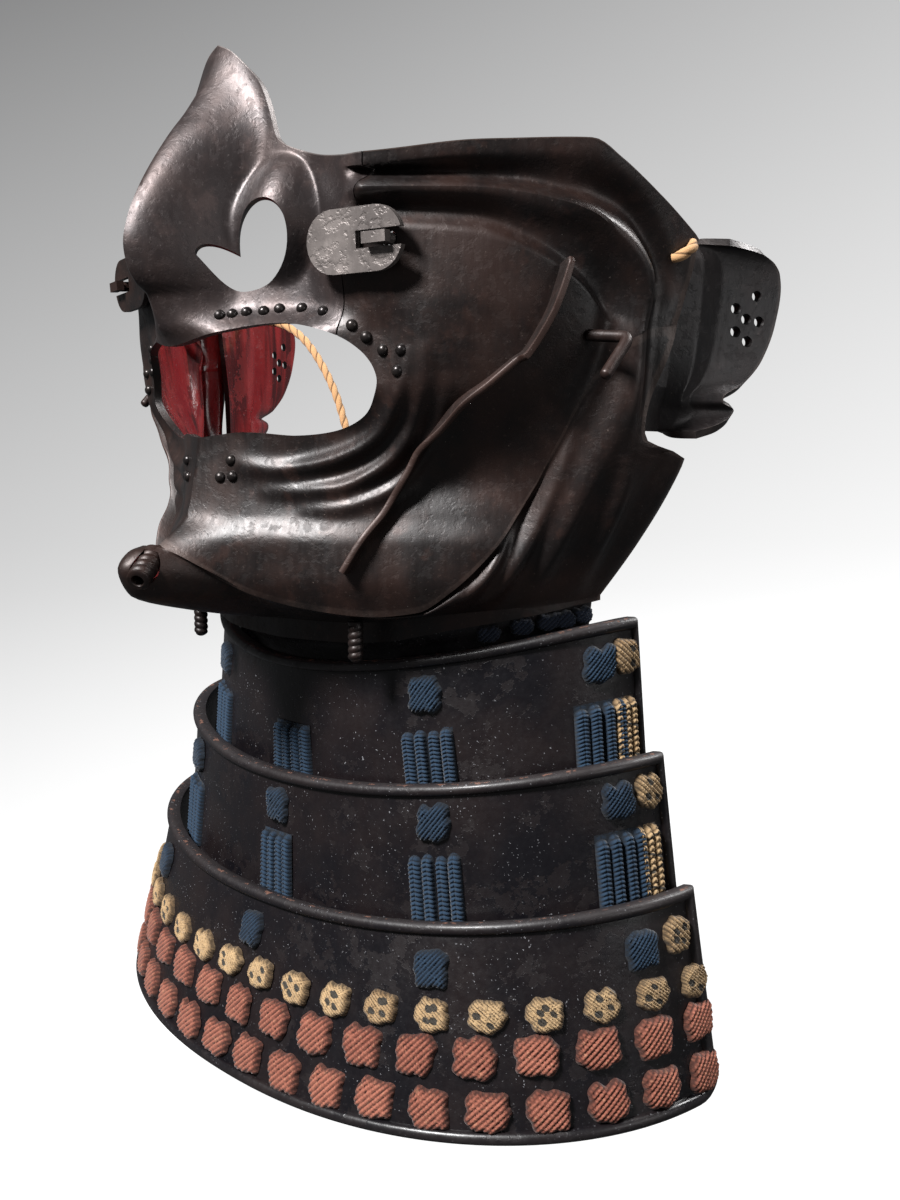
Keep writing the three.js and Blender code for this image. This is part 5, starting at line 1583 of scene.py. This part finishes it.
@dataclass
class ThroatGuard:
    """The lames with their lacing."""

    columns: tuple[tuple[str, float], ...] = (
        ("middle", 0), ("left", 34.5), ("right", -34.5), ("left_rear", 75), ("right_rear", -75))
    edge_angle: float = 82.6
    braid_half: float = 6.2
    edge_half: float = 3.0
    rise: float = 1.9
    braid_ends: tuple[tuple[str, float, float], ...] = (
        ("neck", 0.52, 0.9), ("upper", 0.47, 0.92), ("lower", 0.43, 0.92))
    knot_shares: tuple[float, ...] = (0.25, 0.24, 0.215)
    knot_size: tuple[float, float, float] = (3.9, 4.2, 2.0)
    edge_knot_size: tuple[float, float, float] = (3.7, 4.1, 2.0)
    edge_knot_turn: float = 1.3
    edge_knot_lift: float = 0.02
    neck_knot_size: tuple[float, float, float] = (2.7, 2.1, 1.8)
    neck_knots: tuple[tuple[float, float], ...] = (
        (54, 0.27), (63.5, 0.24), (71.5, 0.24), (77.5, 0.25), (85, 0.22))
    rows: tuple[StitchRow, ...] = (
        StitchRow("tan_stitches", "tan", 0.425, 4.1, 3.75, 20, 9, -1.0, 2.3, 1.0),
        StitchRow("orange_stitches_upper", "orange", 0.615, 4.65, 4.4, 19, 6, 1.0, 3.4, 0.0),
        StitchRow("orange_stitches_lower", "orange", 0.85, 4.65, 4.4, 20, 6, 1.0, 3.2, 0.0))
    row_end: float = 87.2

    def build(self) -> None:
        """Builds plates, braids, knots and stitch rows."""
        lacquer = BLACK_LACQUER.make()
        silks = {"blue": BLUE_SILK.make(), "tan": TAN_SILK.make(), "orange": ORANGE_SILK.make(),
                 "dark": DARK_SILK.make()}
        for lame in LAMES:
            lame.build(lacquer)
        self.braids(silks)
        self.knots(silks)
        for row in self.rows:
            self.stitch_row(row, silks[row.silk])

    def braids(self, silks: dict[str, bpy.types.Material]) -> None:
        """The upright braids between the plates.

        Args:
            silks: the silk materials by name.
        """
        for lame, (row, low, high) in zip(LAMES, self.braid_ends):
            made = Patches(lame, across=64, down=110)
            nodes = []
            middle = (low + high) / 2
            half_height = (high - low) / 2 / made.frame(0, 0.5)[1]
            for k, (name, angle) in enumerate(self.columns):
                if row == "neck" and name == "middle":
                    continue
                braid = Braid(k + 3, 4, 8.5, split=True)
                made.add(angle, middle, self.braid_half, half_height, self.rise, braid.shape)
                nodes.append(f"blue_strap_{row}_{name}")
            made.build(f"blue_braids_{row}", silks["blue"], Slot.BLUE_SILK, nodes)
            if row == "neck":
                continue
            made = Patches(lame, across=26, down=90)
            for _, sign in SIDES:
                braid = Braid(sign + 11, 3, 6, spots=1.0)
                made.add(sign * self.edge_angle, middle, self.edge_half, half_height, self.rise, braid.shape)
            made.build(f"tan_braids_{row}", silks["tan"], Slot.TAN_SILK,
                       [f"edge_strap_{row}_{side}" for side, _ in SIDES])

    def knots(self, silks: dict[str, bpy.types.Material]) -> None:
        """The knots where the braids come out of each plate.

        Args:
            silks: the silk materials by name.
        """
        for number, (lame, share) in enumerate(zip(LAMES[1:], self.knot_shares)):
            made = Patches(lame)
            for k, (name, angle) in enumerate(self.columns):
                if number == 0 and name == "middle":
                    continue
                made.add(angle, share, *self.knot_size, Knot(number * 10 + k, 7, 1.0, 4.0).shape)
            made.build(f"blue_knots_{lame.name}", silks["blue"], Slot.BLUE_SILK)
            made = Patches(lame)
            for _, sign in SIDES:
                knot = Knot(number + 40 + sign, 6, -sign * 1.0, 2.5, 0.9)
                made.add(sign * (self.edge_angle + self.edge_knot_turn), share - self.edge_knot_lift,
                         *self.edge_knot_size, knot.shape)
            made.build(f"tan_knots_{lame.name}", silks["tan"], Slot.TAN_SILK)
        made = Patches(LAMES[0], across=22, down=22)
        for k, (angle, share) in enumerate(self.neck_knots):
            for _, sign in SIDES:
                knot = Knot(70 + 2 * k + sign, 4, sign * 1.0, 2.6)
                made.add(sign * angle, share, *self.neck_knot_size, knot.shape)
        made.build("neck_knots", silks["dark"], Slot.BLUE_SILK)

    def stitch_row(self, row: StitchRow, silk: bpy.types.Material) -> None:
        """One row of knots at even steps along the lowest plate.

        Args:
            row: the row's sizes.
            silk: its finish.
        """
        lame = LAMES[3]
        made = Patches(lame, across=32, down=32)
        line = np.linspace(-self.row_end, self.row_end, 721)
        run = distances(lame.base(line, np.full_like(line, row.share)))
        rng = np.random.default_rng(row.count)
        for k, distance in enumerate(np.linspace(0, run[-1], row.count)):
            angle = float(np.interp(distance, run, line))
            knot = Knot(row.count * 100 + k, row.ridges, row.lean, row.squareness, row.spots)
            made.add(angle, row.share + rng.uniform(-0.006, 0.006), row.half_width * rng.uniform(0.95, 1.05),
                     row.half_height * rng.uniform(0.95, 1.05), self.rise, knot.shape)
        made.build(row.name, silk, Slot.TAN_SILK)


# Rods and fittings


@dataclass
class Rod:
    """A sweep of a round or shaped section along a line, with closed ends."""

    line: Array
    sides: int = 20

    def frames(self) -> tuple[Array, Array, Array]:
        """Tangents and two cross directions carried along the line without twist."""
        tangent = unit(np.gradient(self.line, axis=0))
        side = np.zeros_like(tangent)
        side[0] = unit(np.cross(tangent[0], UPWARD if abs(tangent[0][2]) < 0.9 else (1.0, 0.0, 0.0)))
        for i in range(1, len(tangent)):
            side[i] = unit(side[i - 1] - tangent[i] * np.dot(side[i - 1], tangent[i]))
        return tangent, side, np.cross(tangent, side)

    def mesh(self, radius: Callable[[Array, Array], Array]) -> Mesh:
        """The rod's mesh.

        Args:
            radius: gives radii from the distance along and the angle round.

        Returns:
            Points and faces.
        """
        _, side, other = self.frames()
        along, angle = np.meshgrid(distances(self.line), turns(self.sides), indexing="ij")
        ring = np.cos(angle)[..., None] * side[:, None] + np.sin(angle)[..., None] * other[:, None]
        points = self.line[:, None] + radius(along, angle)[..., None] * ring
        return points.reshape(-1, 3), capped_faces(len(self.line), self.sides)


def even(radius: float) -> Callable[[Array, Array], Array]:
    """One radius all along a rod."""
    return lambda along, angle: radius + 0 * along


def rounded_rod(line: Array, radius: float, sides: int = 22) -> Mesh:
    """A rod with a rounded far end.

    Args:
        line: the rod's middle line.
        radius: its radius.
        sides: corners round it.

    Returns:
        Points and faces.
    """
    length = distances(line)[-1]

    def taper(along: Array, angle: Array) -> Array:
        """Radius that closes over the last stretch."""
        near_end = np.clip((along - length + radius * 0.8) / (radius * 0.82), 0, 1)
        return radius * np.sqrt(np.clip(1 - near_end**2.5, 0.02, 1))

    return Rod(line, sides).mesh(taper)


def joined(parts: Sequence[Mesh]) -> Mesh:
    """Several meshes as one.

    Args:
        parts: points and faces of each mesh.

    Returns:
        Points and faces of all.
    """
    points, faces, start = [], [], 0
    for part_points, part_faces in parts:
        points.append(part_points)
        faces += [tuple(start + i for i in face) for face in part_faces]
        start += len(part_points)
    return np.concatenate(points), faces


def mirror(part: Mesh) -> Mesh:
    """A mesh on the other side of the face."""
    points, faces = part
    return points * MIRROR, [tuple(reversed(face)) for face in faces]


def both_sides(part: Mesh) -> tuple[tuple[str, Mesh], ...]:
    """The left mesh and its mirror image, each with the name of its side."""
    return ("left", part), ("right", mirror(part))


def bent_line(corners: Sequence[Array], steps: int = 16) -> Array:
    """A line through start, bend and end, rounded at the bend.

    Args:
        corners: start, bend and end.
        steps: points along the bend.

    Returns:
        The line.
    """
    base, bend, end = (np.asarray(c, float) for c in corners)
    before, after = bend + (base - bend) * 0.2, bend + (end - bend) * 0.2
    t = np.linspace(0, 1, steps)[:, None]
    turn = (1 - t) ** 2 * before + 2 * (1 - t) * t * bend + t**2 * after
    first = base + (before - base) * np.linspace(0, 1, 12, endpoint=False)[:, None]
    last = after + (end - after) * np.linspace(0, 1, 25)[1:, None]
    return np.concatenate([first, turn, last])


def blurred(values: Array, reach: int) -> Array:
    """Running mean over the neighbours on both sides."""
    width = 2 * reach + 1
    return np.convolve(np.pad(values, reach, mode="edge"), np.ones(width) / width, mode="valid")


@dataclass
class EarPlates:
    """The plates behind the cheeks, with their six holes; red lacquer inside."""

    form: FaceForm
    wall: float = 1.6
    reach: float = 30.4
    lean: float = 0.21
    outline: Table = Table(
        ("height", "reach"),
        ((0.258, 0.211), (0.27, 0.398), (0.287, 0.533), (0.3, 0.566), (0.314, 0.461), (0.324, 0.467),
         (0.352, 0.658), (0.398, 0.829), (0.468, 0.951), (0.538, 1.0), (0.566, 0.985), (0.583, 0.94),
         (0.595, 0.86), (0.603, 0.74), (0.608, 0.5)))
    holes: tuple[tuple[float, float], ...] = (
        (0.803, 0.521), (0.638, 0.495), (0.72, 0.476), (0.822, 0.472), (0.635, 0.451), (0.724, 0.433))
    hole_radius: float = 1.2
    clearance: float = 2.7
    bend: float = 1.3
    bend_share: float = 0.22
    bend_heights: tuple[float, float, float, float] = (0.26, 0.31, 0.58, 0.62)
    root_width: float = 1.0125
    lean_start: float = 0.1
    root_angles: tuple[float, ...] = (86.0, 89.0, 93.0)
    root_reach: int = 22
    worn: float = 0.6
    rows: int = 120
    steps: int = 46

    def inside(self, angle: float, z: Array) -> Array:
        """Radius just inside the shell.

        Args:
            angle: degrees from the front.
            z: heights in millimetres.

        Returns:
            The radii.
        """
        f = self.form
        angles = np.full_like(z, angle)
        edge = f.jaw_height(angles)
        neck = f.height * f.neck_top.at("height", angles)
        p = f.throat(angles, np.clip((edge - z) / (edge - neck), 0, 1))
        under = np.hypot(p[:, 0], p[:, 1] - f.depth)
        return np.where(z >= edge, f.plain(angles, z), under) - IRON_WALL - self.clearance

    def build(self) -> None:
        """Builds both plates."""
        f = self.form
        h = np.linspace(self.outline.rows[-1][0], self.outline.rows[0][0], self.rows)
        z = h * f.height
        reach = self.outline.at("reach", h)
        across = self.root_width * f.radius + self.lean * self.reach * (reach - self.lean_start)
        end = np.stack([across, f.depth + reach * self.reach, z], axis=-1)
        columns = [f.around(np.full_like(z, angle), blurred(self.inside(angle, z), self.root_reach), z)
                   for angle in self.root_angles]
        root = columns[-1]
        foot, low, high, head = self.bend_heights
        bend = ramp(h, head, high) * ramp(h, foot, low) * self.bend
        for t in np.linspace(0, 1, self.steps)[1:]:
            outward = bend * np.clip(1 - abs(t - self.bend_share) / self.bend_share, 0, 1)
            columns.append(root + (end - root) * t + outward[:, None] * np.array([1.0, 0, 0]))
        grid = np.stack(columns, axis=1)
        points, faces, inside = wall_mesh(grid, grid + normals_of(grid, 3) * self.wall)
        rim = np.zeros(grid.shape[:2])
        rim[:, -2:] = rim[:1] = rim[-1:] = self.worn
        wear = {"wear": np.concatenate([rim.ravel(), rim.ravel()])}
        finish, red = EAR_IRON.make(), RED_LACQUER.make()
        for (side, shown), (_, sign) in zip(both_sides((points, faces)), SIDES):
            made = Piece.make(f"ear_{side}", *shown, [finish, red], inside, wear)
            Piece.cut(made, [self.drill(sign, *hole) for hole in self.holes])
            Piece.shade(made, 40)
            Piece.settle(made, Slot.DARK_IRON, replaces=[f"ear_plate_{side}"])

    def drill(self, sign: int, reach: float, height: float) -> bpy.types.Object:
        """A cutter for one hole."""
        middle = np.array([sign * self.form.radius, self.form.depth + reach * self.reach,
                           height * self.form.height])
        line = middle + np.array([1.0, 0, 0]) * np.linspace(-14, 14, 3)[:, None]
        return solid("hole", *Rod(line, 24).mesh(even(self.hole_radius)))


def solid(name: str, points: Array, faces: Faces, finishes: Sequence[bpy.types.Material] = (),
          attributes: dict[str, Array] | None = None) -> bpy.types.Object:
    """A closed mesh whose faces point out.

    Args:
        name: the mesh's name.
        points: its vertices, in millimetres.
        faces: its faces.
        finishes: its materials.
        attributes: numbers on the vertices, by name.

    Returns:
        The object.
    """
    made = Piece.make(name, points, faces, finishes, attributes=attributes)
    work = bmesh.new()
    work.from_mesh(made.data)
    bmesh.ops.recalc_face_normals(work, faces=work.faces)
    work.to_mesh(made.data)
    work.free()
    return made


@dataclass
class Fittings:
    """Small iron pieces: strips, hooks, tube, pegs and rivets, and the lock plates and pins of the frame."""

    form: FaceForm
    rivet_radius: float = 1.25
    rivet_rise: float = 1.125
    hook_radius: float = 1.2
    hook_reach: float = 9.5
    hook_outward: Place = (1, 0.12, -0.1)
    hook_drop: float = 11
    hook_down: Place = (0, -0.72, -0.74)
    tube_radius: float = 2.6
    tube_bore: float = 1.3
    tube_length: float = 9
    tube_root: Place = (0.016, 0.9375, 0.022)
    tube_axis: Place = (0.45, -0.73, -0.52)
    peg_radius: float = 1.7
    peg_length: float = 8.5
    strip_height: float = 4
    strip_wall: float = 1.5
    strip_seat: float = -0.3
    strip_rows: int = 180
    strip_sides: int = 16
    strip_squareness: float = 0.35
    hook_place: tuple[float, float] = (75.2, 0.426)
    peg_place: tuple[float, float] = (34.3, 0.45)
    thread_depth: float = 0.34
    thread_pitch: float = 1.9
    thread_start: float = 1.2
    winding_pitch: float = 1.5
    winding_depth: float = 0.14
    strip_wobble: float = 0.03
    soft_edge: float = 0.3
    strip: Table = Table(
        ("row", "angle", "height", "stand"),
        ((0, 70.8, 0.545, 1.1), (1, 69.2, 0.473, 1.4), (2, 65.6, 0.392, 1.4), (3, 64.4, 0.382, 0.8),
         (4, 60.6, 0.346, 0.85), (5, 55.8, 0.306, 0.85), (6, 52.3, 0.257, 0.85), (7, 48.1, 0.194, 0.85),
         (8, 42.0, 0.105, 0.85), (9, 36.4, 0.029, 0.85), (10, 34.2, -0.005, 0.9)))
    nose_rivets: tuple[tuple[float, float], ...] = (
        (9.3, 0.475), (11.3, 0.477), (13.9, 0.480), (17.2, 0.481), (20.2, 0.485), (25.0, 0.485),
        (30.2, 0.476))
    cheek_rivets: tuple[tuple[float, float], ...] = (
        (36.6, 0.447), (39.3, 0.425), (42.4, 0.401), (45.7, 0.400), (45.0, 0.363), (7.9, 0.204), (5.7, 0.171),
        (8.3, 0.173))

    def build(self, nodes: dict[str, bpy.types.Object]) -> None:
        """Dresses the frame's plates and pins and builds the rest.

        Args:
            nodes: the frame's nodes by name.
        """
        iron, pale, rivet = RUSSET.make(), PALE_IRON.make(), RIVET_IRON.make()
        for name, made in nodes.items():
            if name.startswith(("lock_plate", "turn_pin")):
                # Painted shade: the right lock plate and turn pin take the dark russet iron, the left ones
                # the pale iron.
                self.soften(made, pale if name.endswith("left") else iron)
        self.rivets("nose_rivets", self.nose_rivets, rivet)
        self.rivets("cheek_rivets", self.cheek_rivets, rivet)
        self.strips(STRIP_IRON.make())
        self.hooks(iron)
        self.tube(iron)
        self.pegs(iron)

    def soften(self, made: bpy.types.Object, finish: bpy.types.Material) -> None:
        """Gives one of the frame's nodes its finish and rounded edges.

        Args:
            made: a node of the frame.
            finish: its material.
        """
        made.data.materials.clear()
        made.data.materials.append(finish)
        change = made.modifiers.new("soft_edges", "BEVEL")
        change.width = self.soft_edge * MM
        change.segments = 3
        change.limit_method = "ANGLE"
        change.angle_limit = math.radians(40)

    def rivets(self, name: str, places: Sequence[tuple[float, float]], finish: bpy.types.Material) -> None:
        """Domed rivet heads on both sides of the face.

        Args:
            name: the piece's name.
            places: angle and share of the height of each rivet.
            finish: its material.
        """
        parts = []
        for angle, height in places:
            for sign in (1, -1):
                point, out, level, up = self.form.frame(sign * angle, height * self.form.height)
                parts.append(dome(point, out, level, up, self.rivet_radius, self.rivet_rise))
        points, faces = joined(parts)
        Piece.settle(Piece.make(name, points, faces, [finish]), Slot.GREY_IRON)

    def strips(self, finish: bpy.types.Material) -> None:
        """The thin bands that stand on edge across the cheeks.

        Args:
            finish: their material.
        """
        rows = np.linspace(0, self.strip.rows[-1][0], self.strip_rows)
        angle, height, stand = (self.strip.at(name, rows) for name in ("angle", "height", "stand"))
        frames = [self.form.frame(a, h * self.form.height) for a, h in zip(angle, height)]
        place = np.array([frame[0] for frame in frames])
        out = np.array([frame[1] for frame in frames])
        out = unit(np.stack([blurred(out[:, axis], 12) for axis in range(3)], axis=1))
        side = unit(np.cross(np.gradient(place, axis=0), out))
        corner = []
        for t in turns(self.strip_sides):
            c, d = math.cos(t), math.sin(t)
            corner.append((math.copysign(abs(c) ** self.strip_squareness, c) * 0.5,
                           0.5 + math.copysign(abs(d) ** self.strip_squareness, d) * 0.5))
        wobble = 1 + self.strip_wobble * np.sin(rows * 2.3)
        stand = (self.strip_height * stand * wobble)[:, None]
        points = np.stack([place + side * (a * self.strip_wall) + out * (self.strip_seat + b * stand)
                           for a, b in corner], axis=1)
        part = (points.reshape(-1, 3), capped_faces(len(rows), self.strip_sides))
        top = np.tile(np.array([1.0 if b > 0.9 else 0.15 for _, b in corner]), len(rows))
        for name, shown in both_sides(part):
            made = solid(f"strip_{name}", *shown, [finish], {"wear": top})
            Piece.shade(made, 50)
            Piece.settle(made, Slot.DARK_IRON, replaces=[f"cheek_strip_{name}"])

    def rods(self, name: str, node: str, part: Mesh, finish: bpy.types.Material) -> None:
        """One small piece on each side of the face."""
        for side, shown in both_sides(part):
            made = Piece.make(f"{name}_{side}", *shown, [finish])
            Piece.settle(made, Slot.DARK_IRON, replaces=[f"{node}_{side}"])

    def hooks(self, finish: bpy.types.Material) -> None:
        """The bent rods that the cords go round.

        Args:
            finish: their material.
        """
        angle, height = self.hook_place
        point = self.form.face_point(angle, height * self.form.height)
        outward, down = np.array(self.hook_outward), np.array(self.hook_down)
        bend = point + outward * self.hook_reach
        line = bent_line((point + outward * 0.4, bend, bend + down * self.hook_drop))
        self.rods("hook", "cord_hook", rounded_rod(line, self.hook_radius), finish)

    def tube(self, finish: bpy.types.Material) -> None:
        """The short open tube at the chin, wound like a screw.

        Args:
            finish: its material.
        """
        root, axis = self.tube_line()
        length, radius, bore = self.tube_length, self.tube_radius, self.tube_bore
        stations = [(d, radius) for d in np.linspace(-0.5, length - 0.25, 90)]
        stations += [(length, radius - 0.35), (length, bore + 0.1), (length - 0.2, bore)]
        stations += [(0.3, bore), (-0.5, bore)]
        side = unit(np.cross(axis, UPWARD))
        other = np.cross(axis, side)
        angles = turns(40)
        points = []
        for d, wide in stations:
            for a in angles:
                turn = d / self.thread_pitch - a / (2 * math.pi)
                thread = self.thread_depth * (1 - abs(math.cos(math.pi * turn)))
                cut = thread if wide == radius and d > self.thread_start else 0.0
                points.append(root + axis * d + (wide - cut) * (math.cos(a) * side + math.sin(a) * other))
        faces = ring_faces(len(stations), len(angles), closed=True)
        made = solid("chin_tube", np.array(points), faces, [finish])
        Piece.shade(made, 50)
        Piece.settle(made, Slot.DARK_IRON, replaces=["sweat_tube"])

    def tube_line(self) -> tuple[Array, Array]:
        """Where the chin's tube starts, and its direction."""
        f = self.form
        across, ahead, height = self.tube_root
        root = np.array([across * f.radius, f.depth - ahead * f.radius, height * f.height])
        return root, unit(np.array(self.tube_axis))

    def pegs(self, finish: bpy.types.Material) -> None:
        """The pegs under the jaw, wound with wire.

        Args:
            finish: their material.
        """
        seat = self.form.throat(*(np.array([v]) for v in self.peg_place))[0]
        line = seat - UPWARD * np.linspace(0.5, self.peg_length + 0.9, 90)[:, None]
        end = self.peg_length + 0.4

        def winding(along: Array, angle: Array) -> Array:
            """Radius with a shallow helix and a rounded foot."""
            ripple = np.abs(np.cos(math.pi * (along / self.winding_pitch - angle / (2 * math.pi))))
            foot = np.sqrt(np.clip(1 - np.clip((along - end + 1.4) / 1.42, 0, 1) ** 2, 0.03, 1))
            return self.peg_radius * (1 - self.winding_depth + self.winding_depth * ripple) * foot

        self.rods("peg", "chin_peg", Rod(line, 28).mesh(winding), finish)


def dome(point: Array, out: Array, level: Array, up: Array, radius: float, high: float) -> Mesh:
    """A domed head on a surface.

    Args:
        point: its middle on the surface.
        out: direction out of the surface.
        level: level direction along the surface.
        up: upward direction along the surface.
        radius: the head's radius.
        high: the head's height.

    Returns:
        Points and faces.
    """
    rings, sides, sunk, points = 7, 22, 0.1, []
    for a in np.arange(rings) * math.pi / 2 / rings:
        for b in turns(sides):
            points.append(point + out * (high * math.sin(a) - sunk)
                          + radius * math.cos(a) * (math.cos(b) * level + math.sin(b) * up))
    points.append(point + out * (high - sunk))
    last = (rings - 1) * sides
    cap = [(last + k, last + (k + 1) % sides, last + sides) for k in range(sides)]
    return np.array(points), ring_faces(rings, sides) + cap


def corners(bounds: Sequence[Sequence[float]]) -> list[list[float]]:
    """A box as plain lists."""
    return [[float(v) for v in corner] for corner in bounds]


def main() -> None:
    """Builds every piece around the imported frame."""
    logging.basicConfig(level=logging.INFO, format="%(name)s: %(message)s")
    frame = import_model()
    cad = corners(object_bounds())
    form = FaceForm()
    Studio().build(cad[0][2])
    HangingCord(form).build()
    IronMask(form).build()
    EarPlates(form).build()
    ThroatGuard().build()
    Fittings(form).build(frame["nodes"])


if __name__ == "__main__":
    main()
